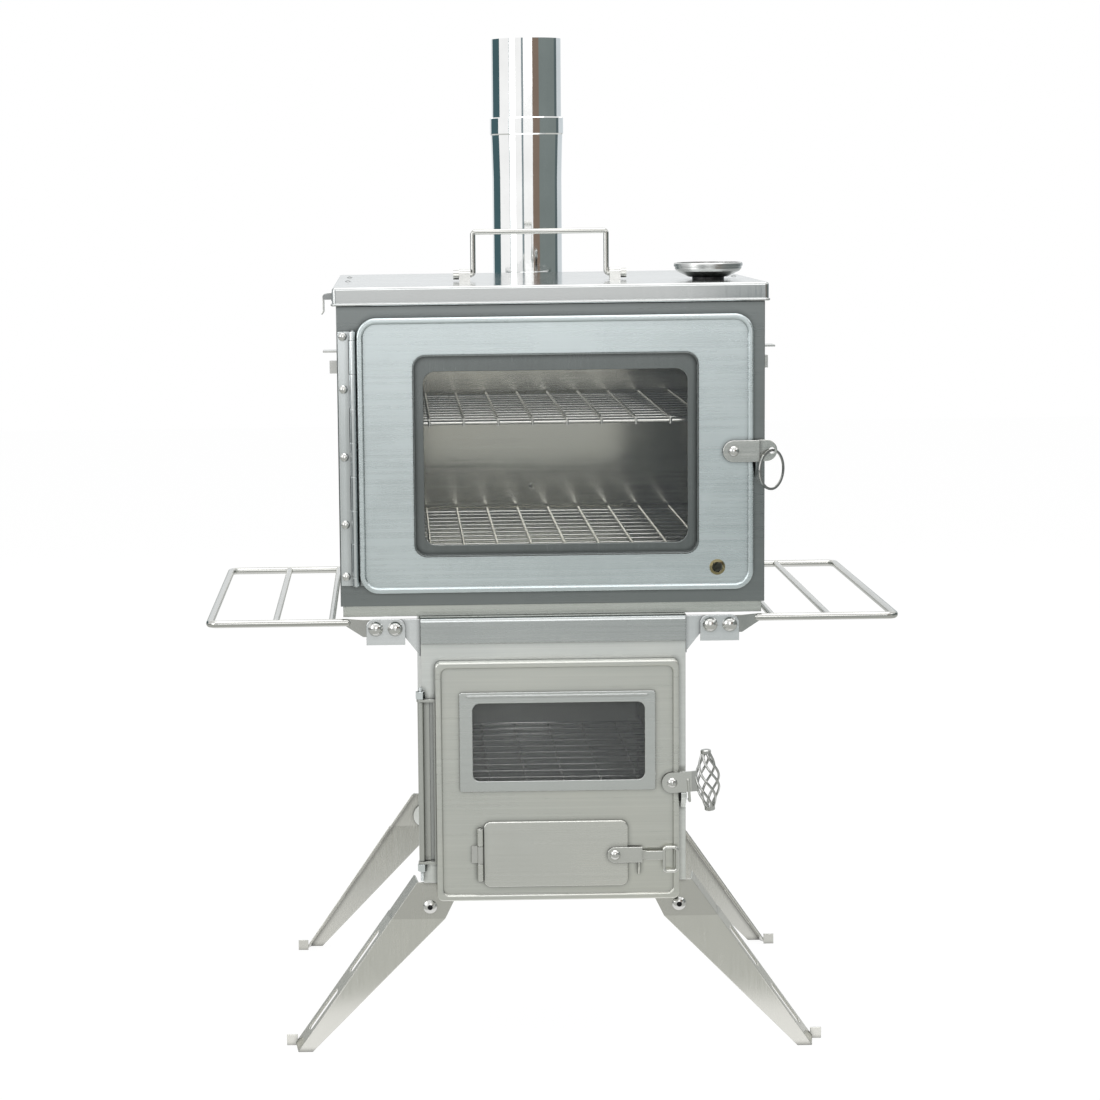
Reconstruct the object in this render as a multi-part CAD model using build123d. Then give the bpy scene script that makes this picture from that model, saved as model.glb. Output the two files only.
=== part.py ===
from build123d import *
import os
from math import asin, cos, pi, radians, sin, tan

os.makedirs("parts", exist_ok=True)

# Box oven on a small folding-leg wood stove with two wire side shelves and a flue.
# Frame: X to the right, Y to the back, Z up, millimetres. The origin lies on the floor at the
# centre of the four legs. Pieces are plain sheet steel, rod and wire unless a comment says more.

# ---- common clearances and sheets ----
face_gap = 0.3          # between faces of pieces that move past each other
run_gap = 0.06          # radial clearance of a pin or rivet in its bearing hole
weld_depth = 0.4        # how far crossing wires sink into one another at a weld
wall_t = 1.5            # stove sheet
top_t = 2.0             # stove top sheet
oven_t = 1.2            # oven sheet

# ---- stance and stove body ----
leg_span = 341.0        # between the outer faces of the front and the rear leg plates
pivot_z = 122.0         # height of the leg pivots
body_w = 212.0
body_l = 424.0
leg_setback = 6.0       # the leg plates stand this far behind the stove's front band
pivot_to_body = 21.0    # from the leg pivot up to the underside of the body
body_h = 217.0
band_h = 21.0
band_roll_r = 4.0
frame_open_margin = 21.0
frame_open_x = 2.4
frame_open_above = 15.0
frame_open_below_top = 52.0

body_z0 = pivot_z + pivot_to_body
top_z = body_z0 + body_h
half_w = body_w / 2
band_y = -leg_span / 2 - leg_setback
frame_y = band_y + top_t
body_y1 = frame_y + body_l

# ---- stance and legs ----
pivot_inset = 5.0       # the pivots stand this far inside the body's sides
leg_t = 1.5
leg_head_r = 20.4       # the leg's rounded head about its pivot
leg_edge_out = 4.5      # outer edge at the top of the leg, beyond the body's side
foot_out = 103.7        # outer corner of the foot, beyond the body's side
foot_w = 11.1
crease_below = 10.0     # the leg leans inwards from this far below its pivot
crease_in = 17.2        # inner end of the crease, inside the body's side
leg_lean = 3.2          # degrees
leg_flange_w = 18.0
leg_flange_angle = 80.0  # the flange is bent a little short of square
flange_slot_w = 7.0
flange_slot_l = 42.0
foot_tab_w = 7.5
foot_tab_h = 9.0
eyelet_bore = 4.0
eyelet_r = 3.1
eyelet_head_r = 5.6
bracket_t = 1.5

pivot_x = half_w - pivot_inset
leg_edge_x = half_w + leg_edge_out
foot_out_x = half_w + foot_out
foot_in_x = foot_out_x - foot_w
crease_z = pivot_z - crease_below
crease_in_x = half_w - crease_in

# ---- fire grate ----
grate_above = 57.0
grate_pitch = 27.0
grate_wire_r = 1.5
grate_cross_pitch = 31.6
grate_cross_n = 6
rail_w = 12.0

# ---- flue ----
flue_r = 31.75
flue_t = 0.8
flue_to_back = 43.0     # from the flue's axis to the body's back
collar_h = 18.0
collar_flange = 8.0
socket_r = 33.6
socket_h = 16.0
swage_h = 39.0
socket_above = 403.5    # from the stove top to the top of the socket
flue_above = 474.0      # from the stove top to the open end

flue_y = body_y1 - flue_to_back
socket_top_z = top_z + socket_above
flue_end_z = top_z + flue_above

# ---- stove door ----
door_margin = 8.5       # each side of the door, from the body's width
door_x = 2.4
door_hang = 13.0        # the door reaches this far below the body
door_below_band = 14.0
door_depth = 8.2
door_corner = 5.0
rim_w = 5.0
rim_h = 1.6
door_back_gap = 0.8
win_w = 138.0
win_h = 63.5
win_x = 3.4
win_below = 65.2        # centre of the window, below the door's top edge
win_corner = 6.0
win_frame_side = 9.35   # frame plate around the window opening
win_frame_up = 8.65
win_frame_down = 8.25
pane_lap = 5.0
pane_t = 3.0
clip_w = 12.0
hinge_out = 0.8         # the hinge axis stands this far outside the body's side
barrel_r = 2.5
pin_r = 1.5
lug_t = 2.0
lug_r = 3.2
lug_up = 31.0           # middle of the lower lug, above the door's lower edge
lug_down = 31.5
nut_flats = 6.5
nut_h = 6.0

door_w = body_w - 2 * door_margin
door_z0 = body_z0 - door_hang
door_z1 = top_z - band_h - door_below_band
door_h = door_z1 - door_z0
win_z = door_z1 - win_below
win_frame_w = win_w + 2 * win_frame_side
win_frame_h = win_h + win_frame_up + win_frame_down
win_frame_z = win_z + (win_frame_up - win_frame_down) / 2
hinge_x = -half_w - hinge_out
lug_low_z = door_z0 + lug_up
lug_high_z = door_z1 - lug_down
door_right = door_x + door_w / 2

# ---- ash door ----
ash_w = 116.0
ash_h = 53.5
ash_x = 0.5
ash_above = 38.2        # centre of the ash door, above the stove door's lower edge
ash_corner = 6.0
ash_t = 2.0
ash_port_lap = 12.0     # the ash door laps its port on the sides
ash_port_lap_h = 8.75
ash_barrel_r = 2.4
ash_pin_r = 1.1
ash_hinge_short = 10.5  # the hinge is this much shorter than the ash door
ash_lever_w = 12.5
ash_rivet_in = 10.5     # from the ash door's right edge to the lever's rivet
ash_rivet_drop = 1.2
ash_lever_l = 22.0
ash_link_l = 17.0
ash_link_w = 7.0
ash_step = 3.0
loop_w = 10.5
loop_h = 19.5
loop_r = 1.4
ash_catch_out = 8.7     # from the ash door's right edge to the catch
catch_t = 1.3

ash_z = door_z0 + ash_above
ash_port_w = ash_w - 2 * ash_port_lap
ash_port_h = ash_h - 2 * ash_port_lap_h
ash_hinge_h = ash_h - ash_hinge_short
ash_rivet_x = ash_x + ash_w / 2 - ash_rivet_in
ash_rivet_z = ash_z - ash_rivet_drop
ash_lever_x1 = ash_rivet_x + ash_lever_l
ash_link_x1 = ash_lever_x1 + ash_link_l
ash_catch_x = ash_x + ash_w / 2 + ash_catch_out

# ---- stove door latch with the spiral cage handle ----
latch_rivet_in = 5.9    # from the door's right edge to the rivet
latch_above = 95.2      # above the door's lower edge
latch_w = 16.4
latch_t = 2.0
latch_tilt = 4.0        # degrees, the free end stands higher
rivet_head_r = 4.1
rivet_head_h = 2.2
rivet_shank_r = 2.0
cage_reach = 28.6       # from the rivet to the middle of the cage
cage_r = 9.3
cage_end_r = 2.6
cage_wire_r = 1.0
cage_h = 46.0
cage_wires = 6
cage_twist = 205.0
cap_r = 4.2
cap_h = 3.6
hook_r = 1.1
hook_h = 17.0
hook_x = 12.8
catch_w = 4.4

latch_rivet_x = door_right - latch_rivet_in
latch_rivet_z = door_z0 + latch_above

# ---- side shelves ----
shelf_depth = 320.0
rod_r = 3.0
shelf_pivot_out = 35.8  # from the body's side to the outer dome rivet, the shelf's pivot
rivet_pitch = 15.6
shelf_below = 9.3       # the pivots lie this far below the stove top
rod_above = 5.0
shelf_reach = 133.5     # from the pivot to the outer rod
mid_reach = 80.4
in_reach = 35.2
cross_rod_r = 2.6
arm_t = 3.0
arm_h = 13.4
arm_full_l = 10.2       # full height of the flattened arm beyond the pivot
arm_l = 23.7
tab_w = 31.0
tab_h = 21.0
tab_t = 2.0
tab_corner = 6.5
tab_top = 7.9
dome_r = 6.0
dome_h = 3.6
gusset_in_h = 30.0
gusset_out = 25.0

rod_pivot_x = half_w + shelf_pivot_out
fix_rivet_x = rod_pivot_x - rivet_pitch
tab_x = rod_pivot_x - rivet_pitch / 2 - 0.2
shelf_pivot_z = top_z - shelf_below
shelf_out_x = rod_pivot_x + shelf_reach
shelf_mid_x = rod_pivot_x + mid_reach
shelf_in_x = rod_pivot_x + in_reach
arm_tip_x = rod_pivot_x + arm_full_l
arm_rod_x = rod_pivot_x + arm_l
gusset_out_x = half_w + gusset_out

# ---- oven ----
oven_w = 339.0
oven_d = 331.0
oven_setback = 6.0      # behind the stove's front band
base_h = 9.2
base_inset = 1.8
base_front = 5.0
oven_h = 263.7          # from the stove top to the top of the lid
lid_side = 3.0
lid_front = 2.4
lid_rear = 4.6
lid_skirt = 14.8
lid_over_panel = 0.4    # from the front panel up to the lid's hem
lid_hem_r = 1.1
port_side = 23.75       # panel left each side of the port
port_above_base = 22.8
port_below_panel = 20.5
port_x = 1.75

oven_y = band_y + oven_setback
oven_z = top_z + base_h
oven_half = oven_w / 2
oven_back_y = oven_y + oven_d
lid_w = oven_w + 2 * lid_side
lid_d = oven_d + lid_front + lid_rear
lid_z = top_z + oven_h
lid_y0 = oven_y - lid_front
lid_under = lid_z - oven_t
panel_h = lid_z - lid_skirt - lid_over_panel - oven_z
port_w = oven_w - 2 * port_side
port_h = panel_h - port_above_base - port_below_panel
port_z = oven_z + port_above_base + port_h / 2

# ---- oven racks ----
rack_low_up = 39.8      # lower rack above the oven's floor
rack_high_up = 144.8
rack_side = 5.5         # between a rack's end and the outside of the wall
rack_rear = 17.0
rack_front = 22.0
rack_bar_r = 1.75
rack_wire_r = 1.0
rack_cross_r = 1.2
rack_pitch = 27.6
rack_cross_n = 12
rack_wire_n = 10
rack_tip = 5.0
ledge_w = 12.0
ledge_h = 10.0
rack_play = 7.0

rack_low_z = oven_z + rack_low_up
rack_high_z = oven_z + rack_high_up
rack_w = oven_w - 2 * rack_side
rack_d = oven_d - rack_front - rack_rear

# ---- oven door ----
odoor_left = 16.1       # front panel left bare beside, below and above the door
odoor_right = 10.0
odoor_low = 11.3
odoor_high = 9.0
odoor_depth = 7.5
odoor_gap = 1.5
odoor_corner = 15.0
odoor_rim_w = 4.5
odoor_rim_h = 1.5
odoor_lip = 8.0
recess_w = 225.7
recess_h = 160.6
recess_x = 3.1
recess_drop = 0.4       # centre of the recess below the centre of the door
recess_corner = 10.0
recess_depth = 5.5
glass_side = 8.2        # window flange left beside the glass opening
glass_low = 8.95
glass_high = 13.35
glass_corner = 9.6
glass_t = 3.0
glass_lap = 5.0
vent_in = 28.6          # from the door's right edge to the vent
vent_up = 17.8
vent_bore = 4.2
vent_r = 6.3

odoor_x0 = -oven_half + odoor_left
odoor_x1 = oven_half - odoor_right
odoor_z0 = oven_z + odoor_low
odoor_z1 = oven_z + panel_h - odoor_high
odoor_cx = (odoor_x0 + odoor_x1) / 2
odoor_cz = (odoor_z0 + odoor_z1) / 2
odoor_w = odoor_x1 - odoor_x0
odoor_h = odoor_z1 - odoor_z0
recess_z = odoor_cz - recess_drop
glass_x = recess_x
glass_w = recess_w - 2 * glass_side
glass_h = recess_h - glass_low - glass_high
glass_z = recess_z + (glass_low - glass_high) / 2
vent_x = odoor_x1 - vent_in
vent_z = odoor_z0 + vent_up

# ---- piano hinge ----
knuckle_r = 3.0
hinge_pin_r = 1.4
knuckle_in = 12.8       # from the oven's side to the hinge axis
hinge_low = 5.5         # the hinge is this much shorter than the door, below and above
hinge_high = 10.5
knuckle_end = 7.0
knuckle_n = 7
leaf_edge_in = 0.9
leaf_t = 1.2
door_leaf_w = 14.0
screw_in = 4.9
screw_r = 3.4
screw_head_h = 1.9
screw_low = 7.4         # from the ends of the hinge to its first and last screw
screw_high = 4.0
screw_gap = 54.0        # from the middle screw to its neighbours

knuckle_axis_x = -oven_half + knuckle_in
hinge_z0 = odoor_z0 + hinge_low
hinge_z1 = odoor_z1 - hinge_high
leaf_edge_x = -oven_half + leaf_edge_in
screw_x = -oven_half + screw_in
screw_z0 = hinge_z0 + screw_low
screw_z1 = hinge_z1 - screw_high
screw_mid = (screw_z0 + screw_z1) / 2
screw_zs = [screw_z0, screw_mid - screw_gap, screw_mid, screw_mid + screw_gap, screw_z1]

# ---- oven latch ----
olatch_in = 16.0        # from the door's right edge to the rivet
olatch_rise = 0.8       # above the door's middle
olatch_w = 17.0
olatch_t = 1.5
olatch_fold_out = 4.5   # from the door's right edge to the fold
olatch_fold = 4.5
olatch_tab_out = 10.5
olatch_hole_out = 14.7
olatch_hole_r = 2.4
ring_r = 16.4
ring_w = 2.0
ring_t = 1.1
ring_turn = 46.0
ocatch_out = 2.0

olatch_x = odoor_x1 - olatch_in
olatch_z = odoor_cz + olatch_rise
olatch_fold_x = odoor_x1 + olatch_fold_out
olatch_tab_x = odoor_x1 + olatch_tab_out
olatch_hole_x = odoor_x1 + olatch_hole_out
ocatch_x = odoor_x1 + ocatch_out

# ---- lid fittings ----
bail_x = -2.8
bail_y = 110.0
bail_half = 55.0
bail_h = 35.0
bail_wire_r = 2.2
bail_pivot = 5.4
bail_bend = 2.4         # radius of the wire's own line at the bends
bail_post_x = 57.6
bail_post_w = 9.0
bail_post_d = 9.0
bail_post_h = 10.0
bail_nut_l = 4.6
bail_nut_r = 3.9
lid_rivet_in = 10.5     # from the lid's side edge
lid_rivet_ys = (148.0, 250.0)
lid_rivet_r = 2.6
thermo_in = 38.5        # from the lid's right edge to the thermometer
thermo_y = 88.0
magnet_r = 13.0
magnet_h = 2.0
case_r = 28.0
case_low_r = 16.0
case_h = 11.5
bezel_w = 2.4
dial_well = 4.2
dial_t = 0.6
lens_t = 1.2
needle_l = 21.0
needle_w = 1.6
hub_r = 2.4
hasp_y = 35.0
hasp_out = 5.9
hasp_below = 8.2
hasp_r = 2.2
hasp_pin_r = 1.0
hasp_w = 14.0
hasp_l = 13.5
ear_w = 3.0
side_tab_y = 35.0
side_tab_below = 52.7
side_tab_l = 20.0
side_tab_out = 11.5
side_tab_t = 1.4
side_block_out = 6.4
side_block_h = 10.0
side_block_l = 10.0
side_block_below = 7.0

lid_rivet_x = lid_w / 2 - lid_rivet_in
thermo_x = lid_w / 2 - thermo_in
hasp_x = -lid_w / 2 - hasp_out
hasp_z = lid_z - hasp_below
side_tab_z = lid_z - side_tab_below


# ---- helpers ----
def slab(x0, x1, y0, y1, z0, z1):
    """A block between two corners."""
    return Pos((x0 + x1) / 2, (y0 + y1) / 2, (z0 + z1) / 2) * Box(x1 - x0, y1 - y0, z1 - z0)


def upright(sketch, y0, y1):
    """A sketch drawn in X and Z, made solid from y0 back to y1."""
    plane = Plane(origin=(0, y1, 0), x_dir=(1, 0, 0), z_dir=(0, -1, 0))
    return extrude(plane * sketch, amount=y1 - y0)


def sideways(sketch, x0, x1):
    """A sketch drawn in Y and Z, made solid from x0 to x1."""
    plane = Plane(origin=(x0, 0, 0), x_dir=(0, 1, 0), z_dir=(1, 0, 0))
    return extrude(plane * sketch, amount=x1 - x0)


def window(x, z, w, h, r):
    """A rounded rectangle about (x, z)."""
    return Pos(x, z) * RectangleRounded(w, h, r)


def outline(*points):
    """A polygon through the points."""
    return make_face(Polyline(*points, close=True))


def rod_x(x0, x1, y, z, r):
    """A round bar along X."""
    return Pos((x0 + x1) / 2, y, z) * Rot(0, 90, 0) * Cylinder(r, x1 - x0)


def rod_y(x, y0, y1, z, r):
    """A round bar along Y."""
    return Pos(x, (y0 + y1) / 2, z) * Rot(90, 0, 0) * Cylinder(r, y1 - y0)


def rod_z(x, y, z0, z1, r):
    """A round bar along Z."""
    return Pos(x, y, (z0 + z1) / 2) * Cylinder(r, z1 - z0)


def dome(x, y, z, r, h):
    """A domed rivet head whose flat face lies at y and which bulges to the front."""
    ball_r = (r * r + h * h) / (2 * h)
    half = asin(r / ball_r) / 2
    mid = (ball_r * sin(half), ball_r - h - ball_r * cos(half))
    edges = Polyline((r, 0), (0, 0), (0, -h)) + ThreePointArc((0, -h), mid, (r, 0))
    plane = Plane(origin=(x, y, z), x_dir=(1, 0, 0), z_dir=(0, 0, 1))
    return revolve(plane * make_face(edges), axis=Axis((x, y, z), (0, 1, 0)))


def front_rivet(x, z, head_y, tail_y, shank_r, head_r=rivet_head_r, head_h=rivet_head_h):
    """A dome-headed rivet: the head sits on head_y and the shank ends at tail_y."""
    return dome(x, head_y, z, head_r, head_h) + rod_y(x, head_y - head_h / 2, tail_y, z, shank_r)


def mirror_x(shape):
    return mirror(shape, about=Plane.YZ)


def mirror_y(shape):
    return mirror(shape, about=Plane.XZ)


# ---- stove body ----
def stove_body():
    """Bottom, two sides and back, folded from one sheet and open to the front and the top."""
    y0 = frame_y + wall_t
    z1 = top_z - top_t
    box = slab(-half_w, half_w, y0, body_y1, body_z0, z1)
    inside = slab(-half_w + wall_t, half_w - wall_t, y0 - 1, body_y1 - wall_t, body_z0 + wall_t, z1 + 1)
    return box - inside


def stove_top():
    """Top sheet with the rolled front band and the hole for the flue collar."""
    sheet = slab(-half_w, half_w, band_y, body_y1, top_z - top_t, top_z)
    band = slab(-half_w, half_w, band_y, frame_y, top_z - band_h, top_z)
    plate = sheet + band
    roll = plate.edges().filter_by(Axis.X).group_by(Axis.Y)[0].sort_by(Axis.Z)[-1]
    plate = fillet(roll, band_roll_r)
    return plate - rod_z(0, flue_y, top_z - 2 * top_t, top_z + 1, flue_r - flue_t - run_gap)


def stove_front_frame():
    """Front face behind the door, with the loading port."""
    port_z0 = body_z0 + frame_open_above
    port_z1 = top_z - frame_open_below_top
    port_w = body_w - 2 * frame_open_margin
    face = Pos(0, (body_z0 + top_z - top_t) / 2) * Rectangle(body_w, body_h - top_t)
    port = window(frame_open_x, (port_z0 + port_z1) / 2, port_w, port_z1 - port_z0, win_corner)
    return upright(face - port, frame_y, frame_y + wall_t) + stove_latch_catch()


def grate_z():
    return body_z0 + grate_above


def fire_grate():
    """Welded wire grate over the ash space: cross wires below the long ones that lie on the rails."""
    z = grate_z()
    y0 = frame_y + 30.0
    y1 = body_y1 - 30.0
    count = int((y1 - y0) / grate_pitch) + 1
    reach = half_w - wall_t - 2.0
    wires = [rod_x(-reach, reach, y0 + i * grate_pitch, z, grate_wire_r) for i in range(count)]
    low = z - 2 * grate_wire_r + weld_depth
    first = -(grate_cross_n - 1) / 2 * grate_cross_pitch
    for i in range(grate_cross_n):
        x = first + i * grate_cross_pitch
        wires.append(rod_y(x, y0 - 4.0, y0 + (count - 1) * grate_pitch + 4.0, low, grate_wire_r))
    return Part() + wires


def grate_rails():
    """Two angle rails on the side walls that carry the long wires."""
    z = grate_z() - grate_wire_r
    x = half_w - wall_t
    rails = []
    for side in (-1, 1):
        shelf = slab(x - rail_w, x, frame_y + 12.0, body_y1 - 12.0, z - wall_t, z)
        leg = slab(x - wall_t, x, frame_y + 12.0, body_y1 - 12.0, z - rail_w, z)
        rail = shelf + leg
        rails.append(rail if side > 0 else mirror_x(rail))
    return rails


# ---- legs ----
leg_face_y = -leg_span / 2


def leg_upper_outline():
    """Leg head in the left leg's own plane: flat top, rounded inner corner, straight inner edge."""
    head_z = pivot_z + leg_head_r
    corner = radians(15.0)
    inner = (-pivot_x + leg_head_r * cos(corner), pivot_z + leg_head_r * sin(corner))
    mid = (-pivot_x + leg_head_r * sin(radians(37.5)), pivot_z + leg_head_r * cos(radians(37.5)))
    edges = Polyline((-crease_in_x, crease_z), (-leg_line_x(crease_z), crease_z),
                     (-leg_line_x(head_z), head_z), (-pivot_x, head_z))
    edges += ThreePointArc((-pivot_x, head_z), mid, inner)
    edges += Line(inner, (-crease_in_x, crease_z))
    return make_face(edges)


def leg_line_x(z):
    """Distance of the leg's outer edge from the middle at height z: a straight line to the foot."""
    head_z = pivot_z + leg_head_r
    return foot_out_x + (leg_edge_x - foot_out_x) * z / head_z


def leg_flange(z_low, z_high, slots):
    """Stiffening flange along the outer edge between two heights."""
    low = Vector(-leg_line_x(z_low), leg_face_y, z_low)
    high = Vector(-leg_line_x(z_high), leg_face_y, z_high)
    along = (high - low).normalized()
    outward = Vector(-along.Z, 0, along.X)
    bend = radians(leg_flange_angle)
    across = outward * cos(bend) + Vector(0, 1, 0) * sin(bend)
    plane = Plane(origin=low, x_dir=along, z_dir=along.cross(across))
    length = (high - low).length
    sheet = Pos(length / 2, leg_flange_w / 2) * Rectangle(length, leg_flange_w)
    for start in slots:
        sheet -= Pos(start + flange_slot_l / 2, leg_flange_w / 2) * SlotOverall(flange_slot_l, flange_slot_w)
    return extrude(plane * sheet, amount=leg_t / 2, both=True)


def front_left_leg():
    """Folded sheet leg: flat head on its eyelet, leaning lower blade, slotted flange and foot tab."""
    head_z = pivot_z + leg_head_r
    head = upright(leg_upper_outline(), leg_face_y, leg_face_y + leg_t)
    bend = radians(leg_lean)
    drop = crease_z / cos(bend)
    foot_z = crease_z - drop
    blade_shape = outline((-crease_in_x, crease_z), (-leg_line_x(crease_z), crease_z),
                          (-foot_out_x, foot_z), (-foot_in_x, foot_z))
    blade = upright(blade_shape, leg_face_y, leg_face_y + leg_t)
    blade += leg_flange(foot_z, crease_z + 0.5, (18.0, 78.0))
    tab_y = leg_face_y + leg_flange_w - leg_t
    blade += slab(-foot_out_x - foot_tab_w - 3.0, -foot_out_x - 1.5, tab_y, tab_y + leg_t,
                  foot_z, foot_z + foot_tab_h)
    hinge_line = Axis((0, leg_face_y, crease_z), (1, 0, 0))
    blade = blade.rotate(hinge_line, leg_lean)
    leg = head + leg_flange(crease_z - 0.5, head_z, ()) + blade
    leg -= rod_y(-pivot_x, leg_face_y - 1, leg_face_y + leg_t + 1, pivot_z, eyelet_r + run_gap)
    leg -= slab(-2 * foot_out_x, 0, -leg_span, leg_span, -foot_out, 0)
    return leg


def leg_bracket():
    """Front left hanging bracket: a rounded ear behind the leg head and a foot on the body's bottom."""
    y0 = leg_face_y + leg_t + face_gap
    ear = Pos(-pivot_x, pivot_z) * Circle(leg_head_r / 2 + 0.8)
    neck = outline((-half_w + 0.4, body_z0), (-pivot_x + 11.0, body_z0),
                   (-pivot_x + 11.0, pivot_z), (-half_w + 0.4, pivot_z))
    bracket = upright(ear + neck, y0, y0 + bracket_t)
    bracket += slab(-half_w + 0.4, -pivot_x + 11.0, y0, y0 + 20.0, body_z0 - bracket_t, body_z0)
    hole = rod_y(-pivot_x, y0 - 1, y0 + bracket_t + 1, pivot_z, eyelet_r)
    return bracket - hole


def leg_eyelet():
    """Front left hollow rivet: domed head, tube through leg and bracket, rolled tail."""
    head_y = leg_face_y - face_gap / 2
    tail_y = leg_face_y + leg_t + face_gap + bracket_t
    body = dome(-pivot_x, head_y, pivot_z, eyelet_head_r, 2.4)
    body += rod_y(-pivot_x, head_y - 0.5, tail_y, pivot_z, eyelet_r)
    body += rod_y(-pivot_x, tail_y, tail_y + 1.0, pivot_z, eyelet_head_r - 0.8)
    return body - rod_y(-pivot_x, head_y - 5, tail_y + 5, pivot_z, eyelet_bore / 2)


def four_corners(piece):
    """A front left piece and its three mirrored copies."""
    right = mirror_x(piece)
    return [piece, right, mirror_y(piece), mirror_y(right)]


# ---- flue ----
def flue_collar():
    """Ring with a flange that stands on the top sheet."""
    ring = rod_z(0, flue_y, top_z - top_t, top_z + collar_h, flue_r - flue_t - run_gap - 0.1)
    ring += rod_z(0, flue_y, top_z, top_z + wall_t, flue_r + collar_flange)
    return ring - rod_z(0, flue_y, top_z - 3 * top_t, top_z + collar_h + 1, flue_r - 3 * flue_t)


def tube_profile(pairs):
    """A turned shape about the flue's axis from (radius, height) pairs."""
    plane = Plane(origin=(0, flue_y, 0), x_dir=(1, 0, 0), z_dir=(0, -1, 0))
    return revolve(plane * outline(*pairs), axis=Axis((0, flue_y, 0), (0, 0, 1)))


def flue_lower():
    """Lower section: slips over the collar and widens at the top into a socket with a rolled edge."""
    z0 = top_z + wall_t + face_gap
    swage_z = socket_top_z - socket_h - swage_h
    band_z = socket_top_z - socket_h
    t = flue_t
    wide = socket_r - 0.8
    return tube_profile([
        (flue_r - t, z0), (flue_r, z0), (flue_r, swage_z), (wide, band_z), (socket_r, band_z + 1.2),
        (socket_r, socket_top_z - 1.0), (socket_r - 0.8, socket_top_z), (wide - t, socket_top_z),
        (wide - t, band_z), (flue_r - t, swage_z)])


def flue_upper():
    """Upper section: a plain tube whose lower end stands in the socket."""
    z0 = socket_top_z - socket_h - swage_h
    neck = flue_r - flue_t - 0.25
    full_z = socket_top_z - socket_h
    return tube_profile([
        (neck - flue_t, z0), (neck, z0), (neck, full_z - 20.0), (flue_r, full_z),
        (flue_r, flue_end_z), (flue_r - flue_t, flue_end_z), (flue_r - flue_t, full_z),
        (neck - flue_t, full_z - 20.0)])


# ---- stove door ----
door_left = door_x - door_w / 2
door_back = frame_y - door_back_gap
door_face = door_back - door_depth
rim_face = door_face - rim_h


def stove_door_panel():
    """Pressed pan with a rolled rim, a window hole and an air port behind the ash door."""
    centre_z = door_z0 + door_h / 2
    pan = upright(window(door_x, centre_z, door_w, door_h, door_corner), door_face, door_back)
    inner = window(door_x, centre_z, door_w - 2 * wall_t, door_h - 2 * wall_t, door_corner - wall_t)
    pan -= upright(inner, door_face + wall_t, door_back + 1)
    rim = window(door_x, centre_z, door_w, door_h, door_corner)
    rim -= window(door_x, centre_z, door_w - 2 * rim_w, door_h - 2 * rim_w, door_corner)
    bead = upright(rim, rim_face, door_face)
    bead = fillet(bead.edges().filter_by(lambda e: e.center().Y < rim_face + 0.1), rim_h * 0.9)
    pan += bead
    pan -= upright(window(win_x, win_z, win_w, win_h, win_corner), door_face - 1, door_face + 3)
    pan -= upright(window(ash_x, ash_z, ash_port_w, ash_port_h, ash_corner), door_face - 1, door_face + 3)
    pan -= rod_y(latch_rivet_x, door_face - 5, door_face + 3, latch_rivet_z, rivet_shank_r)
    pan -= rod_y(latch_rivet_x, rim_face - 1, door_face, latch_rivet_z, rivet_head_r)
    return pan + ash_latch_catch()


def stove_window_frame():
    """Flat frame plate on the door's front around the window, with a pressed line along its top."""
    plate = window(door_x, win_frame_z, win_frame_w, win_frame_h, 2.0)
    plate -= window(win_x, win_z, win_w, win_h, win_corner)
    frame = upright(plate, door_face - wall_t, door_face)
    seam_z = win_frame_z + win_frame_h / 2 - 3.0
    half = win_frame_w / 2 - 6.0
    return frame + upright(Pos(door_x, seam_z) * SlotOverall(2 * half, 1.6), door_face - wall_t - 0.5,
                           door_face - wall_t)


def stove_window_glass():
    y0 = door_face + wall_t + 0.1
    pane = window(win_x, win_z, win_w + 2 * pane_lap, win_h + 2 * pane_lap, win_corner)
    return upright(pane, y0, y0 + pane_t)


def stove_window_clips():
    """Four bent clips inside the door that hold the pane's long edges."""
    y0 = door_face + wall_t
    y1 = y0 + pane_t + 0.2
    clips = []
    for side in (-1, 1):
        edge = win_z + side * (win_h / 2 + pane_lap)
        for x in (win_x - win_w / 3, win_x + win_w / 3):
            z_in = edge - side * 4.0
            z_foot = edge + side * 8.0
            z_wall = edge + side * 0.3
            lo, hi = sorted((z_wall, z_foot))
            foot = slab(x - clip_w / 2, x + clip_w / 2, y0, y0 + 1.0, lo, hi)
            lo, hi = sorted((z_wall, z_wall + side))
            web = slab(x - clip_w / 2, x + clip_w / 2, y0, y1 + 1.0, lo, hi)
            lo, hi = sorted((z_in, z_wall + side))
            grip = slab(x - clip_w / 2, x + clip_w / 2, y1, y1 + 1.0, lo, hi)
            clips.append(foot + web + grip)
    return clips


barrel_y = frame_y - nut_flats / 2 - face_gap


def hinge_barrel():
    """Tube with a leaf on the body's left front corner, clasped by the door's lugs."""
    z0 = lug_low_z + lug_t / 2 + face_gap
    z1 = lug_high_z - lug_t / 2 - face_gap
    tube = rod_z(hinge_x, barrel_y, z0, z1, barrel_r)
    tube += slab(hinge_x - 0.6, hinge_x + 7.0, frame_y - 1.4, frame_y, z0, z1)
    return tube - rod_z(hinge_x, barrel_y, 0, 999, pin_r + run_gap)


def stove_hinge_pin():
    """Long pin with a hexagon nut above the upper lug and one below the lower lug."""
    low = lug_low_z - lug_t / 2 - face_gap
    high = lug_high_z + lug_t / 2 + face_gap
    pin = rod_z(hinge_x, barrel_y, low - nut_h - 8.0, high + nut_h + 3.0, pin_r)
    nut = extrude(RegularPolygon(nut_flats / 2, 6, major_radius=False), nut_h)
    return pin + Pos(hinge_x, barrel_y, high) * nut + Pos(hinge_x, barrel_y, low - nut_h) * nut


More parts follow.
